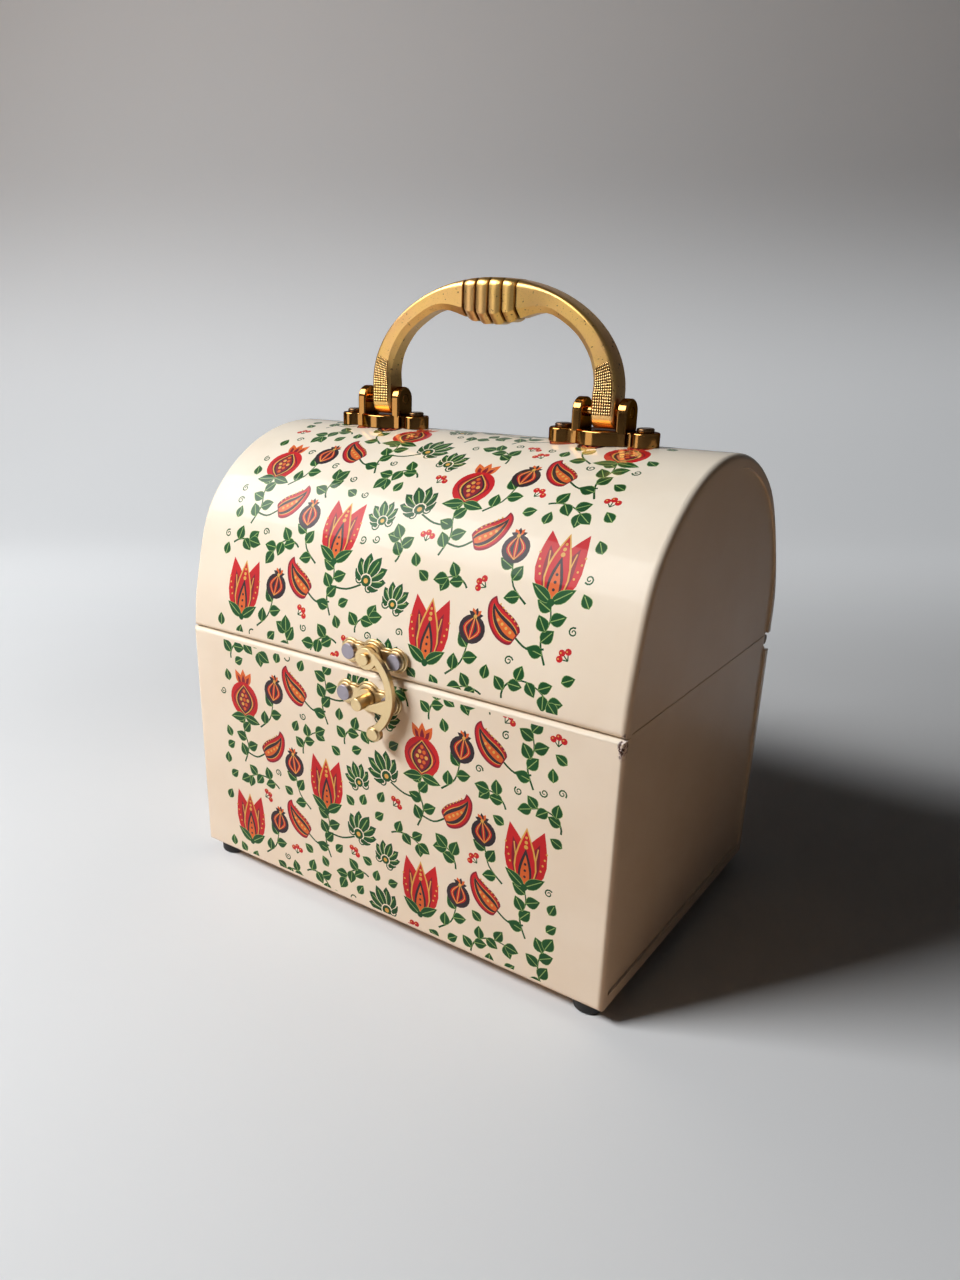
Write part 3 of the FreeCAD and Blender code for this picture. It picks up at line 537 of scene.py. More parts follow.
class Paper:
    """A printed sheet: its shapes in painting order, and the square cells that they already fill."""
    CELL = 1.0

    def __init__(self, width, height, seed):
        self.width = width
        self.height = height
        self.shapes = []
        self.filled = set()
        self.draw = random.Random(seed)

    def cells(self, shapes):
        """The cells along the shapes' outlines."""
        found = set()
        for _, points in shapes:
            for start, end in zip(points, points[1:] + points[:1]):
                count = max(1, int(math.dist(start, end) / self.CELL))
                found.update(
                    tuple(int((a + (b - a) * step / count) // self.CELL) for a, b in zip(start, end))
                    for step in range(count))
        return found

    def paint(self, shapes):
        """Paints shapes that lie between the left and right edges, most of them on the sheet."""
        corners = [corner for _, points in shapes for corner in points]
        low = sum(not 0 < v < self.height for u, v in corners) / len(corners)
        if low > 0.5 or not all(0 < u < self.width for u, v in corners):
            return
        self.shapes += shapes
        for u, v in self.cells(shapes):
            self.filled.update((u + across, v + up) for across in (-1, 0, 1) for up in (-1, 0, 1))

    def paint_if_free(self, shapes):
        """Paints shapes that touch nothing."""
        if not self.cells(shapes) & self.filled:
            self.paint(shapes)


COLUMN, ROW = 44.0, 57.0
TWIG_STEP = 4.2
GAP_TRIES = ((4, 2500), (3, 4000), (2, 5000), (1, 6000), (0, 2000))


def motif_group(paper, at, flip, fruit):
    """A flower or a fruit on its stem, with two palmettes, a paisley and a seed head round it."""
    def stem(*points):
        return curve([at(*point) for point in points])

    paper.paint(sprig(stem((1, -20), (-1.5, -13), (0.5, -6), (-0.5, 0)), 3.4, 5.8, 3.0, False))
    paper.paint(placed(pomegranate() if fruit else tulip(), at(-0.5, 0), 90.0))
    paper.paint([("leaf", stroke(stem((-0.5, -9), (7, -9), (14, -6)), 0.7))])
    paper.paint(placed(palmette(), at(15, -5), 90 - flip * 30))
    paper.paint([("leaf", stroke(stem((0, -15), (-6, -16), (-11, -13)), 0.7))])
    paper.paint(placed(paisley(), at(-10.5, -13.5), 90 + flip * 62, 1.0, -flip))
    paper.paint(sprig(stem((-9, -2), (-14.5, 3), (-16.5, 10)), 4.5, 5.6, 3.0, False))
    paper.paint(placed(seed_head(), at(-16.5, 10), 90 + flip * 8))
    paper.paint(placed(palmette(9.0), at(16, 17), 90 + flip * 20))


def twig(paper, size):
    """A leafy twig, a single leaf, berries or a curl at a random place, for the gaps."""
    start = (paper.draw.uniform(-4, paper.width + 4), paper.draw.uniform(-4, paper.height + 4))
    way = paper.draw.uniform(20, 160)
    if size == 0:
        return placed(curl(1.6), start, way * 2)
    if size == 1:
        return placed(leaf(4.8) if paper.draw.random() < 0.75 else berries(), start, way)
    bend = paper.draw.choice((-1, 1)) * paper.draw.uniform(10, 30) * size
    line = []
    for step in range(3 * size + 1):
        share = step / (3 * size)
        turn = math.radians(way + bend * share)
        reach = TWIG_STEP * size * share
        line.append((start[0] + reach * math.cos(turn), start[1] + reach * math.sin(turn)))
    return sprig(line, 3.5, paper.draw.uniform(5.0, 6.2), 1.6)


def printed_paper(width, height, seed):
    """A sheet of the print: groups in half-dropped columns, every second column mirrored, and filled gaps."""
    paper = Paper(width, height, seed)
    for column in range(-1, int(width / COLUMN) + 2):
        flip = 1 if column % 2 else -1
        for row in range(-1, int(height / ROW) + 2):
            u = COLUMN * (column + 0.3)
            v = ROW * (row + (0.5 if column % 2 else 0.0)) + 6.0
            motif_group(paper, lambda across, up: (u + flip * across, v + up), flip, row % 2)
    for size, tries in GAP_TRIES:
        for _ in range(tries):
            paper.paint_if_free(twig(paper, size))
    return paper


def clipped(points, low, high):
    """An outline cut off at the sides of a rectangle."""
    for axis in (0, 1):
        for sign, limit in ((1, low[axis]), (-1, -high[axis])):
            kept = []
            for start, end in zip(points, points[1:] + points[:1]):
                before, after = sign * start[axis] - limit, sign * end[axis] - limit
                if before >= 0:
                    kept.append(start)
                if before * after < 0:
                    share = before / (before - after)
                    kept.append(tuple(a + (b - a) * share for a, b in zip(start, end)))
            points = kept
    return points


PRINT_LEFT, PRINT_RIGHT = -81.0, 77.5
PRINT_RIM = 0.3
FACES_OUT = 0.9995


class PrintedFace:
    """The outer face of a board, rolled out flat: to_paper and to_board turn places into each other."""

    def __init__(self, to_paper, to_board, outward, left, right, seed):
        self.to_paper = to_paper
        self.to_board = to_board
        self.outward = outward
        self.left = left
        self.right = right
        self.seed = seed

    def is_outer(self, normal, middle):
        return normal.dot(self.outward(middle / MM)) > FACES_OUT

    def outlines(self, low, high):
        """The print's outlines on the board, cut off at the field, with the ink of each."""
        size = [end - start for start, end in zip(low, high)]
        for ink, points in printed_paper(*size, self.seed).shapes:
            moved = [(low[0] + u, low[1] + v) for u, v in points]
            inside = clipped(moved, low, high)
            if len(inside) > 2:
                yield ink, inside

    def apply(self, piece):
        """Divides the piece's outer faces along the print's outlines and gives each part its ink."""
        mesh = bmesh.new()
        mesh.from_mesh(piece.data)
        outer = [face for face in mesh.faces if self.is_outer(face.normal, face.calc_center_median())]
        corners = list({corner for face in outer for corner in face.verts})
        number_of = {corner: number for number, corner in enumerate(corners)}
        flat = [self.to_paper(corner.co / MM) for corner in corners]
        edges = {edge for face in outer for edge in face.edges}
        lines = [[number_of[corner] for corner in edge.verts] for edge in edges]
        low = (self.left, min(v for u, v in flat) + PRINT_RIM)
        high = (self.right, max(v for u, v in flat) - PRINT_RIM)
        inks, polygons = [], []
        for ink, points in self.outlines(low, high):
            area = sum(a[0] * b[1] - b[0] * a[1] for a, b in zip(points, points[1:] + points[:1]))
            ring = list(range(len(flat), len(flat) + len(points)))
            polygons.append(ring if area > 0 else ring[::-1])
            inks.append(ink)
            flat += points
        found = delaunay_2d_cdt([Vector(point) for point in flat], lines, polygons, 1, 0.001, True)
        bmesh.ops.delete(mesh, geom=outer, context="FACES")
        placed_corners = []
        for point, sources in zip(found[0], found[3]):
            kept = [corners[number] for number in sources if number < len(corners)]
            alive = [corner for corner in kept if corner.is_valid]
            placed_corners.append(alive[0] if alive else mesh.verts.new(self.to_board(*point) * MM))
        order = list(PRINT)
        for triangle, sources in zip(found[2], found[5]):
            face = mesh.faces.new([placed_corners[number] for number in triangle])
            face.material_index = order.index(inks[max(sources)]) if sources else 0
        mesh.normal_update()
        mesh.to_mesh(piece.data)
        mesh.free()
        self.shade(piece)

    def shade(self, piece):
        """Smooth shading with the printed face's true normals."""
        smooth(piece, 30.0)
        mesh = piece.data
        normals = [Vector(corner.vector) for corner in mesh.corner_normals]
        for face in mesh.polygons:
            if self.is_outer(face.normal, face.center):
                for loop in face.loop_indices:
                    normals[loop] = self.outward(mesh.vertices[mesh.loops[loop].vertex_index].co / MM)
        mesh.normals_split_custom_set(normals)


# Boards
def outer_board(name, outer_y, inner_y, top_z):
    """A front or back board with its outer outline rounded over."""
    piece = block(name, (-HALF_WIDTH, HALF_WIDTH), sorted((outer_y, inner_y)), (BASE_FOOT_Z, top_z))
    edit(piece)
    pick(piece, "EDGE", lambda corners: all(near(point.y, outer_y) for point in corners))
    bpy.ops.mesh.bevel(offset=EDGE_ROUND * MM, segments=ROUND_STEPS, affect="EDGES")
    return piece


def lid_shell():
    """The bent lid skin: the front wall's top face is spun over the crown and drawn down at the back."""
    piece = block("lid_skin_finished", (-HALF_WIDTH, HALF_WIDTH), (FRONT_Y, FRONT_Y + BOARD),
                  (LID_FOOT_Z, SPRING_Z))
    edit(piece, "FACE")
    pick(piece, "FACE", lambda corners: all(near(point.z, SPRING_Z) for point in corners))
    middle = (0, MIDDLE_Y * MM, SPRING_Z * MM)
    bpy.ops.mesh.spin(steps=ARC_STEPS, angle=math.pi, center=middle, axis=(1, 0, 0))
    drop = (0, 0, (LID_REAR_Z - SPRING_Z) * MM)
    bpy.ops.mesh.extrude_region_move(TRANSFORM_OT_translate={"value": drop})
    bpy.ops.mesh.select_all(action="SELECT")
    bpy.ops.mesh.remove_doubles(threshold=MERGE)
    bpy.ops.mesh.select_mode(type="EDGE")
    bpy.ops.mesh.select_all(action="DESELECT")
    pick(piece, "EDGE", lid_outline)
    flatten_flanks(piece)
    bpy.ops.mesh.bevel(offset=LID_RIM_ROUND * MM, segments=ROUND_STEPS, affect="EDGES")
    return piece


def flatten_flanks(piece):
    """Draws the outer skin in along the flanks."""
    mesh = bmesh.from_edit_mesh(piece.data)
    for vertex in mesh.verts:
        if on_lid_outside(vertex.co / MM):
            vertex.co = lid_to_board(*lid_to_paper(vertex.co / MM)) * MM
    bmesh.update_edit_mesh(piece.data)


def on_lid_outside(point):
    over = max(0.0, point.z - SPRING_Z)
    return near(math.hypot(point.y - MIDDLE_Y, over), ARC)


def lid_outline(corners):
    """True for the outer rim of each end and for the two lower outer edges."""
    if not all(on_lid_outside(point) for point in corners):
        return False
    on_end = all(near(abs(point.x), HALF_WIDTH) for point in corners) and near(corners[0].x, corners[1].x)
    lower = near(corners[0].z, corners[1].z) and corners[0].z < LID_REAR_Z + EDGE_ROUND
    return on_end or lower


def front_face(seed):
    return PrintedFace(lambda place: (place.x, place.z), lambda u, v: Vector((u, FRONT_Y, v)),
                       lambda place: Vector((0, -1, 0)), PRINT_LEFT, PRINT_RIGHT, seed)


def back_face(seed):
    return PrintedFace(lambda place: (-place.x, place.z), lambda u, v: Vector((-u, BACK_Y, v)),
                       lambda place: Vector((0, 1, 0)), -PRINT_RIGHT, -PRINT_LEFT, seed)


ARC_LENGTH = math.pi * ARC


def lid_to_paper(place):
    """v runs up the front wall from the springing's level, over the arc and down the back."""
    if place.z < SPRING_Z:
        below = SPRING_Z - place.z
        return (place.x, -below if place.y < MIDDLE_Y else ARC_LENGTH + below)
    return (place.x, ARC * math.atan2(place.z - SPRING_Z, MIDDLE_Y - place.y))


FLANKS = ((-13.0, 46.0, 2.4), (150.0, 213.0, 2.2))


def drawn_in(v):
    """How far the skin lies inside the plain half round, and how fast that grows along v."""
    for start, end, depth in FLANKS:
        if start < v < end:
            turn = math.pi * (v - start) / (end - start)
            return depth * math.sin(turn) ** 2, depth * math.sin(2 * turn) * math.pi / (end - start)
    return 0.0, 0.0


def lid_to_board(u, v):
    turn = min(max(v, 0.0), ARC_LENGTH) / ARC
    below = max(-v, v - ARC_LENGTH, 0.0)
    reach = ARC - drawn_in(v)[0]
    return Vector((u, MIDDLE_Y - reach * math.cos(turn), SPRING_Z + reach * math.sin(turn) - below))


def lid_outward(place):
    v = lid_to_paper(place)[1]
    turn = min(max(v, 0.0), ARC_LENGTH) / ARC
    cosine, sine = math.cos(turn), math.sin(turn)
    growth = drawn_in(v)[1]
    return Vector((0, growth * sine - cosine, growth * cosine + sine)).normalized()


def lid_face(seed):
    return PrintedFace(lid_to_paper, lid_to_board, lid_outward, PRINT_LEFT, PRINT_RIGHT, seed)


def make_boards():
    front = outer_board("base_front_finished", FRONT_Y, FRONT_INNER_Y, SEAM_Z)
    back = outer_board("base_back_finished", BACK_Y, BACK_INNER_Y, BACK_TOP_Z)
    lid = lid_shell()
    printed = (("base_front_panel", front, front_face(3)), ("base_back_panel", back, back_face(5)),
               ("lid_skin", lid, lid_face(8)))
    for node, piece, face in printed:
        alone(piece)
        dress(piece, node, None, "printed_board")
        piece.data.materials.clear()
        for material in PRINT.values():
            piece.data.materials.append(material)
        face.apply(piece)
    for node in ("base_bottom_panel", "base_left_end", "base_right_end", "lid_left_end", "lid_right_end"):
        NODES[node].data.materials.clear()
        NODES[node].data.materials.append(CREAM)


# Handle: a section drawn along an arch, station by station
PIN_Z = sum(span("handle_left_pin", "z")) / 2
HANDLE_X = sum(span("handle_bail", "x")) / 2
HALF_SPAN = span("handle_bail", "x")[1] - HANDLE_X
HANDLE_TOP = span("handle_bail", "z")[1]
LEG_WIDTH, LEG_DEPTH = 8.8, 9.0
STUB = 6.0
ARM_HEIGHT, ARM_ANGLE = 6.8, 40.0
GRIP_HEIGHT, GRIP_DEPTH = 15.4, 12.4
GRIP_REACH, GRIP_UPRIGHT, GRIP_SHIFT = 29.0, 13.0, 1.8
GROOVES = (-9.1, -3.65, 1.8, 7.25, 12.7)
GROOVE_DEPTH = 0.8
# Along the handle from a groove's middle: how much fuller the section is there
GROOVE_SHAPE = ((-0.6, 0.0), (-0.3, -GROOVE_DEPTH), (0.3, -GROOVE_DEPTH), (0.6, 0.0))
RIB_SHAPE = ((1.6, 0.34), (2.7, 0.46), (3.8, 0.34))
SHOULDER = 1.6
# Corners of the section: for a leg, then what an arm and the grip add
CORNER_ROUND, GRIP_ROUND = 1.2, 1.6
LEG_BEVEL = 0.8
ARM_DROP, GRIP_DROP = 1.2, 1.6
ARM_INSET, GRIP_INSET = 0.9, 2.0
CORNER_LIMIT = 0.6
CORNER_STEPS = 6
BEVEL_SHARES = (0.3, 0.55, 0.8, 1.0)
PAD_COLUMNS, PAD_ROWS = 8, 7
PAD_STEPS, ARM_STEPS = 11, 16
PAD_LOW, PAD_ANGLE = -1.0, 163.0
FOOT_DROP = 4.7
FOOT_TURNS = (84, 66, 48, 30, 14)
# Insets that raise the beads of the pads: thickness and depth
KNURL = ((0.15, 0.3), (0.15, 0.08))
BORE, DRILL_LENGTH = 2.0, 20.0
HANDLE_SHADING = 22.0


def half_section(high, wide, outer, drop, inset):
    """The front half of the section from its outer to its inner side: distances outward and along Y.

    The outer corner is round, the inner one a flat bevel, so high and so deep, with a crease on each side."""
    points = [(high - outer + outer * math.cos(turn), outer - wide - outer * math.sin(turn))
              for turn in (math.pi / 2 * step / CORNER_STEPS for step in range(CORNER_STEPS))]
    face = 2 * high - outer - drop
    points += [(high - outer - face * column / PAD_COLUMNS, -wide) for column in range(PAD_COLUMNS + 1)]
    points += [(drop * (1 - share) - high, inset * share - wide) for share in BEVEL_SHARES]
    return points


def handle_ring(angle, level=STUB, fuller=0.0, depth=None):
    """The section's corners at an angle over the span, in millimetres; level counts from the pins."""
    cosine, sine = math.cos(math.radians(angle)), math.sin(math.radians(angle))
    rise = HANDLE_TOP - PIN_Z - STUB
    outside = Vector((HALF_SPAN * cosine, rise * sine))
    outward = Vector((cosine / HALF_SPAN, sine / rise)).normalized()
    from_grip = abs(outside.x - GRIP_SHIFT)
    upright = min(1.0, max(0.0, 2.0 - from_grip / GRIP_UPRIGHT))
    outward = outward.lerp(Vector((0.0, 1.0)), upright).normalized()
    swell = 0.5 + 0.5 * math.cos(math.pi * min(1.0, from_grip / GRIP_REACH))
    arm = min(1.0, (90.0 - abs(angle - 90.0)) / ARM_ANGLE)
    thick = LEG_WIDTH + arm * (ARM_HEIGHT - LEG_WIDTH) + swell * (GRIP_HEIGHT - ARM_HEIGHT)
    inside = outside - outward * (thick + fuller)
    outside += outward * min(0.0, fuller * 0.6)
    high = (outside - inside).length / 2
    wide = (depth or LEG_DEPTH + swell * (GRIP_DEPTH - LEG_DEPTH)) / 2 + fuller
    outer = min(CORNER_ROUND + GRIP_ROUND * swell, wide * CORNER_LIMIT)
    bevel = min(1.0, arm * 1.6)
    drop = LEG_BEVEL + ARM_DROP * bevel + GRIP_DROP * swell
    inset = min(LEG_BEVEL + ARM_INSET * bevel + GRIP_INSET * swell, wide * CORNER_LIMIT)
    half = half_section(high, wide, outer, drop, inset)
    whole = half + [(out, -along) for out, along in reversed(half)]
    middle = (outside + inside) / 2 + Vector((HANDLE_X, PIN_Z + level))
    return [Vector((middle.x + outward.x * out, MIDDLE_Y + along, middle.y + outward.y * out))
            for out, along in whole]


def foot_rings():
    """The round foot under the left pin, then the straight part of the knurled pad."""
    for turn in FOOT_TURNS:
        cosine, sine = math.cos(math.radians(turn)), math.sin(math.radians(turn))
        yield handle_ring(180.0, PAD_LOW - FOOT_DROP * sine, 0.0, LEG_DEPTH * cosine)
    for row in range(PAD_ROWS):
        yield handle_ring(180.0, PAD_LOW + row)


def angle_at(x):
    """The angle over the span of a place beside the handle's middle."""
    return math.degrees(math.acos(x / HALF_SPAN))


def grip_angles():
    """Angles and fullness over the grip: a sharp groove at each place, slightly bulging ribs between."""
    for groove in GROOVES:
        for off, fuller in GROOVE_SHAPE + (RIB_SHAPE if groove != GROOVES[-1] else ()):
            yield angle_at(groove + off), fuller


def handle_rings():
    """All stations from the left foot over the grip to the right foot."""
    leg = list(foot_rings())
    leg += [handle_ring(180.0 - (180.0 - PAD_ANGLE) * step / PAD_STEPS) for step in range(PAD_STEPS + 1)]
    mirrored = [[Vector((2 * HANDLE_X - point.x, point.y, point.z)) for point in ring]
                for ring in reversed(leg)]
    before, after = angle_at(GROOVES[0] - SHOULDER), angle_at(GROOVES[-1] + SHOULDER)
    arms = []
    for start, end in ((PAD_ANGLE, before), (180.0 - PAD_ANGLE, after)):
        pitch = (end - start) / ARM_STEPS
        arms.append([handle_ring(start + pitch * step) for step in range(1, ARM_STEPS + 1)])
    grip = [handle_ring(angle, STUB, fuller) for angle, fuller in grip_angles()]
    return leg + arms[0] + grip + arms[1][::-1] + mirrored


def place_ring(piece, corners):
    """Puts the selected ring's numbered vertices on a station's corners."""
    mesh = bmesh.from_edit_mesh(piece.data)
    number = mesh.verts.layers.int["corner"]
    for vertex in mesh.verts:
        if vertex.select:
            vertex.co = corners[vertex[number]] * MM
    bmesh.update_edit_mesh(piece.data)


def on_pad(corners):
    """True for the flat front and back faces of the legs between the plain band and the pad's top."""
    top = handle_ring(PAD_ANGLE)[PAD_COLUMNS].z
    flat = all(near(abs(point.y - MIDDLE_Y), LEG_DEPTH / 2, 0.005) for point in corners)
    return flat and all(PIN_Z + PAD_LOW - 0.01 < point.z < top + 0.6 for point in corners)


def bore(piece, x):
    """Drills a leg along its pin."""
    alone()
    middle = (x * MM, MIDDLE_Y * MM, PIN_Z * MM)
    bpy.ops.mesh.primitive_cylinder_add(vertices=32, radius=BORE * MM, depth=DRILL_LENGTH * MM,
                                        location=middle, rotation=(0, math.pi / 2, 0))
    drill = bpy.context.active_object
    alone(piece)
    cut = piece.modifiers.new("bore", "BOOLEAN")
    cut.object = drill
    cut.operation = "DIFFERENCE"
    cut.solver = "EXACT"
    bpy.ops.object.modifier_apply(modifier=cut.name)
    bpy.data.objects.remove(drill)


def make_handle():
    """Draws the section along the arch by extrusion, raises the pads' beads and drills the legs."""
    rings = handle_rings()
    alone()
    bpy.ops.mesh.primitive_circle_add(vertices=len(rings[0]), radius=LEG_WIDTH / 2 * MM, fill_type="NGON")
    piece = bpy.context.active_object
    piece.name = "handle_cast"
    edit(piece, "FACE")
    bpy.ops.mesh.select_all(action="SELECT")
    mesh = bmesh.from_edit_mesh(piece.data)
    number = mesh.verts.layers.int.new("corner")
    mesh.faces.ensure_lookup_table()
    for count, vertex in enumerate(mesh.faces[0].verts):
        vertex[number] = count
    bmesh.update_edit_mesh(piece.data)
    place_ring(piece, rings[0])
    for ring in rings[1:]:
        bpy.ops.mesh.extrude_region_move(TRANSFORM_OT_translate={"value": (0, 0, 0)})
        place_ring(piece, ring)
    bpy.ops.mesh.select_all(action="SELECT")
    bpy.ops.mesh.normals_make_consistent(inside=False)
    bpy.ops.mesh.select_all(action="DESELECT")
    piece.data.materials.append(HANDLE_BRASS)
    piece.data.materials.append(KNURL_BRASS)
    # The pad faces take the knurl brass first; the bead walls keep it as partly patina and partly painted
    # shade, and the bead tops go back to the handle's brass.
    pick(piece, "FACE", on_pad)
    piece.active_material_index = 1
    bpy.ops.object.material_slot_assign()
    for thickness, depth in KNURL:
        bpy.ops.mesh.inset(thickness=thickness * MM, depth=depth * MM, use_individual=True)
        piece.active_material_index = 0
        bpy.ops.object.material_slot_assign()
    alone(piece)
    for node in ("handle_left_pin", "handle_right_pin"):
        bore(piece, sum(span(node, "x")) / 2)
    smooth(piece, HANDLE_SHADING)
    return dress(piece, "handle_bail", slot="handle_brass")


# Hardware: merged copies of the CAD pieces, with their sharp edges rounded
HOOK_BOW = 1.1
FLAT_ANGLE, SHARP_ANGLE, HARDWARE_SHADING = 0.5, 50.0, 35.0


def finished_copy(node, material, slot, round_mm):
    """A merged copy of a CAD piece with its sharp edges rounded; the hook's bow is widened too."""
    alone()
    piece = bpy.data.objects.new(node + "_finished", NODES[node].data.copy())
    bpy.context.scene.collection.objects.link(piece)
    edit(piece, "VERT")
    bpy.ops.mesh.select_all(action="SELECT")
    bpy.ops.mesh.remove_doubles(threshold=MERGE)
    if node == "latch_hook":
        bpy.ops.transform.resize(value=(HOOK_BOW, 1.0, 1.0), center_override=(0, 0, 0))
    bpy.ops.mesh.dissolve_limited(angle_limit=math.radians(FLAT_ANGLE))
    bpy.ops.mesh.select_mode(type="EDGE")
    bpy.ops.mesh.select_all(action="DESELECT")
    bpy.ops.mesh.edges_select_sharp(sharpness=math.radians(SHARP_ANGLE))
    bpy.ops.mesh.bevel(offset=round_mm * MM, segments=3, affect="EDGES", clamp_overlap=True)
    alone(piece)
    smooth(piece, HARDWARE_SHADING)
    flat = piece.modifiers.new("flat faces", "WEIGHTED_NORMAL")
    flat.keep_sharp = True
    bpy.ops.object.modifier_apply(modifier=flat.name)
    return dress(piece, node, material, slot)


# Nodes, finish, slot and edge rounding
HARDWARE = (
    (("latch_plate", "keeper_plate"), LATCH_BRASS, "latch_brass", 0.35),
    (("latch_hook",), LATCH_BRASS, "latch_brass", 0.45),
    (("latch_rivet", "keeper_stud"), LATCH_BRASS, "latch_brass", 0.35),
    (("latch_plate_screws", "keeper_screws"), LATCH_SCREW, "latch_screw_metal", 0.2),
    (("handle_left_plate", "handle_right_plate"), PLATE_BRASS, "handle_brass", 0.6),
    (("handle_left_pin", "handle_right_pin"), PLATE_BRASS, "handle_brass", 0.45),
    (("handle_plate_screws",), PLATE_SCREW, "plate_screw_metal", 0.2),
    (("hinge_base_leaf", "hinge_lid_leaf", "hinge_pin"), HINGE_METAL, "hinge_metal", 0.15),
    (("hinge_base_screws", "hinge_lid_screws"), HINGE_METAL, "hinge_metal", 0.15),
    (("foot_front_left", "foot_front_right"), RUBBER, "foot_rubber", 0.4),
    (("foot_back_left", "foot_back_right"), RUBBER, "foot_rubber", 0.4),
)


def make_hardware():
    for nodes, material, slot, round_mm in HARDWARE:
        for node in nodes:
            finished_copy(node, material, slot, round_mm)


make_boards()
make_handle()
make_hardware()


# Stage, light and camera
# The camera, fitted to the corners of the box in a frame of 960 by 1280 pixels
FRAME_WIDTH, FRAME_HEIGHT = 960.0, 1280.0
FOCAL_PIXELS = 967.3
AXIS_PIXEL = (394.7, 677.2)
CAMERA_PLACE = (200.4, -312.7, 222.2)
CAMERA_AZIMUTH, CAMERA_ELEVATION = 37.57, 20.42


def direction(azimuth, elevation):
    """The way from the box to a place seen at these angles, in degrees, from the middle of its front."""
    turn, rise = math.radians(azimuth), math.radians(elevation)
    return Vector((math.sin(turn) * math.cos(rise), -math.cos(turn) * math.cos(rise), math.sin(rise)))


def make_camera():
    data = bpy.data.cameras.new("photo_camera")
    data.sensor_width = 36.0
    data.lens = FOCAL_PIXELS / FRAME_HEIGHT * data.sensor_width
    data.shift_x = (FRAME_WIDTH / 2 - AXIS_PIXEL[0]) / FRAME_HEIGHT
    data.shift_y = (AXIS_PIXEL[1] - FRAME_HEIGHT / 2) / FRAME_HEIGHT
    data.clip_start, data.clip_end = 0.01, 50.0
    camera = bpy.data.objects.new("photo_camera", data)
    camera.location = [value * MM for value in CAMERA_PLACE]
    camera.rotation_euler = (-direction(CAMERA_AZIMUTH, CAMERA_ELEVATION)).to_track_quat("-Z", "Y").to_euler()
    bpy.context.scene.collection.objects.link(camera)
    bpy.context.scene.camera = camera


# Metres, and linear colours: the glow painted for the camera on the far floor and backdrop, what the camera
# sees of the room, and the faint light
BACKDROP = 1.25
FLOOR_WIDTH, FLOOR_DEPTH, BACKDROP_HEIGHT, SWEEP_ROUND = 8.0, 4.0, 4.0, 0.6
BLACK = (0.0, 0.0, 0.0, 1.0)
PAINTED_GLOW = (0.27, 0.28, 0.29, 1.0)
FAINT_LIGHT = (0.012, 0.0115, 0.011, 1.0)
GREY_ROOM = (0.09, 0.09, 0.09, 1.0)
LAMP_DISTANCE, LAMP_LIFT = 1.15, 0.09
LAMP_COLOUR = (1.0, 0.99, 0.98)


def seen_directly(start):
    """1 for what the camera sees, also in a mirror or through glass, and 0 for what only casts light."""
    camera, glossy, through = (start.node("ShaderNodeLightPath", output=f"Is {ray} Ray")
                               for ray in ("Camera", "Glossy", "Transmission"))
    return (camera + glossy + through).clear(0.0, 1.0)


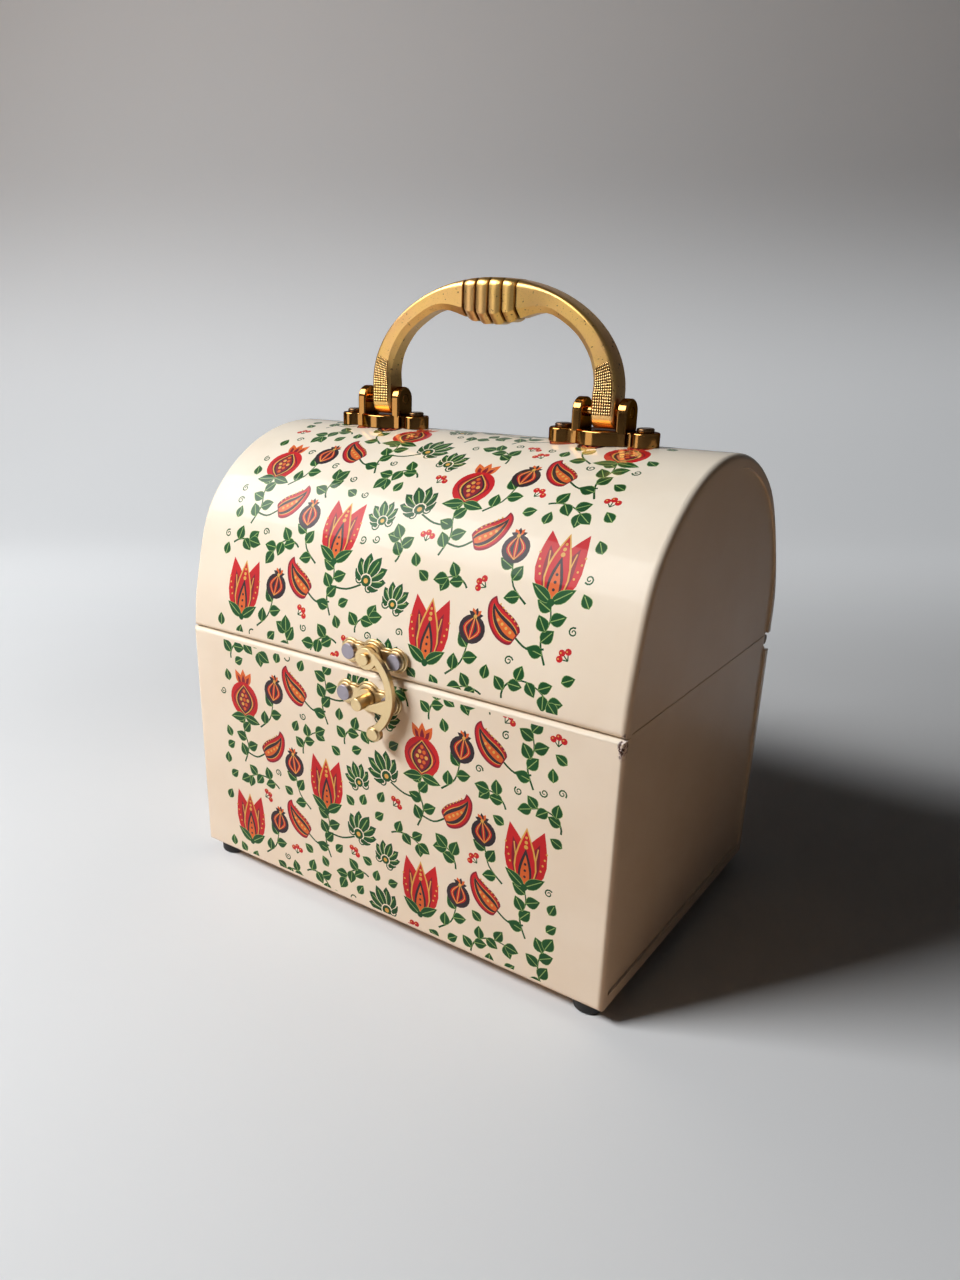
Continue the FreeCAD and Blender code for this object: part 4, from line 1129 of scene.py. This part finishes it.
def sweep():
    """A pale floor that curves up into a backdrop square to the camera, casts back a warm glow, and shows the
    camera a painted glow towards the back that fades up the backdrop.
    """
    alone()
    bpy.ops.mesh.primitive_plane_add(size=1.0)
    floor = bpy.context.active_object
    floor.name = "pale_floor"
    floor.scale = (FLOOR_WIDTH, FLOOR_DEPTH, 1.0)
    floor.location = (0.0, BACKDROP - FLOOR_DEPTH / 2, 0.0)
    bpy.ops.object.transform_apply(location=True, rotation=True, scale=True)
    edit(floor)
    pick(floor, "EDGE", lambda corners: all(point.y > 0.0 for point in corners))
    bpy.ops.mesh.extrude_region_move(TRANSFORM_OT_translate={"value": (0, 0, BACKDROP_HEIGHT)})
    bpy.ops.mesh.select_all(action="DESELECT")
    pick(floor, "EDGE", lambda corners: all(near(point.z, 0.0) and point.y > 0.0 for point in corners))
    bpy.ops.mesh.bevel(offset=SWEEP_ROUND, segments=16, affect="EDGES")
    alone(floor)
    floor.rotation_euler = (0, 0, math.radians(CAMERA_AZIMUTH))
    bpy.ops.object.transform_apply(location=True, rotation=True, scale=True)
    smooth(floor, 60.0)
    made = Finish("pale_floor")
    cloud = made.noise(0.004, 3.0)
    height = made.start.node("ShaderNodeSeparateXYZ", None, {"Vector": made.place}, "Z")
    floor_tone = cloud.blend(tint(230, 233, 236), tint(223, 226, 229))
    pale = height.clear(0.0, 0.45).blend(floor_tone, tint(246, 250, 254))
    glow = height.clear(0.02, 0.3).blend(tint(206, 168, 136), tint(72, 68, 66))
    # A painted glow, seen only by the camera: emission that brightens the floor further back and fades up the
    # backdrop.
    away = direction(CAMERA_AZIMUTH + 180.0, 0.0)
    depth = {0: made.place, 1: away}
    behind = made.start.node("ShaderNodeVectorMath", {"operation": "DOT_PRODUCT"}, depth, "Value")
    painted_far_glow = behind.clear(0.12, 0.6) * (1 - height.clear(0.1, 0.45))
    camera_ray = made.start.node("ShaderNodeLightPath", output="Is Camera Ray")
    made.set(Emission_Color=(camera_ray * painted_far_glow).blend(BLACK, PAINTED_GLOW), Emission_Strength=1.0)
    made.set(Base_Color=seen_directly(made.start).blend(glow, pale), Roughness=0.7)
    floor.data.materials.append(made.material)


def lamp(name, width, height, power, azimuth, elevation):
    """A rectangular lamp that points at the box from a direction."""
    data = bpy.data.lights.new(name, "AREA")
    data.shape = "RECTANGLE"
    data.size, data.size_y = width, height
    data.energy = power
    data.color = LAMP_COLOUR
    made = bpy.data.objects.new(name, data)
    way = direction(azimuth, elevation)
    made.location = way * LAMP_DISTANCE + Vector((0, 0, LAMP_LIFT))
    made.rotation_euler = (-way).to_track_quat("-Z", "Y").to_euler()
    bpy.context.scene.collection.objects.link(made)
    return made


def make_light():
    """A key lamp for the light and the shadow; a wider window and a low card that gloss and metal mirror."""
    key = lamp("key", width=0.5, height=0.2, power=15.2, azimuth=-42.0, elevation=40.0)
    key.visible_glossy = False
    window = lamp("window", width=1.1, height=0.6, power=18.0, azimuth=-45.0, elevation=42.0)
    window.visible_diffuse = False
    card = lamp("card", width=0.5, height=0.36, power=0.7, azimuth=-40.0, elevation=5.0)
    card.visible_diffuse = False
    card.visible_camera = False
    world = bpy.data.worlds.new("studio")
    world.use_nodes = True
    sky = world.node_tree.nodes["Background"]
    shown = seen_directly(Flow(world.node_tree)).blend(FAINT_LIGHT, GREY_ROOM)
    world.node_tree.links.new(shown.output, sky.inputs["Color"])
    bpy.context.scene.world = world


sweep()
make_camera()
make_light()
bpy.context.scene.view_settings.view_transform = "Standard"
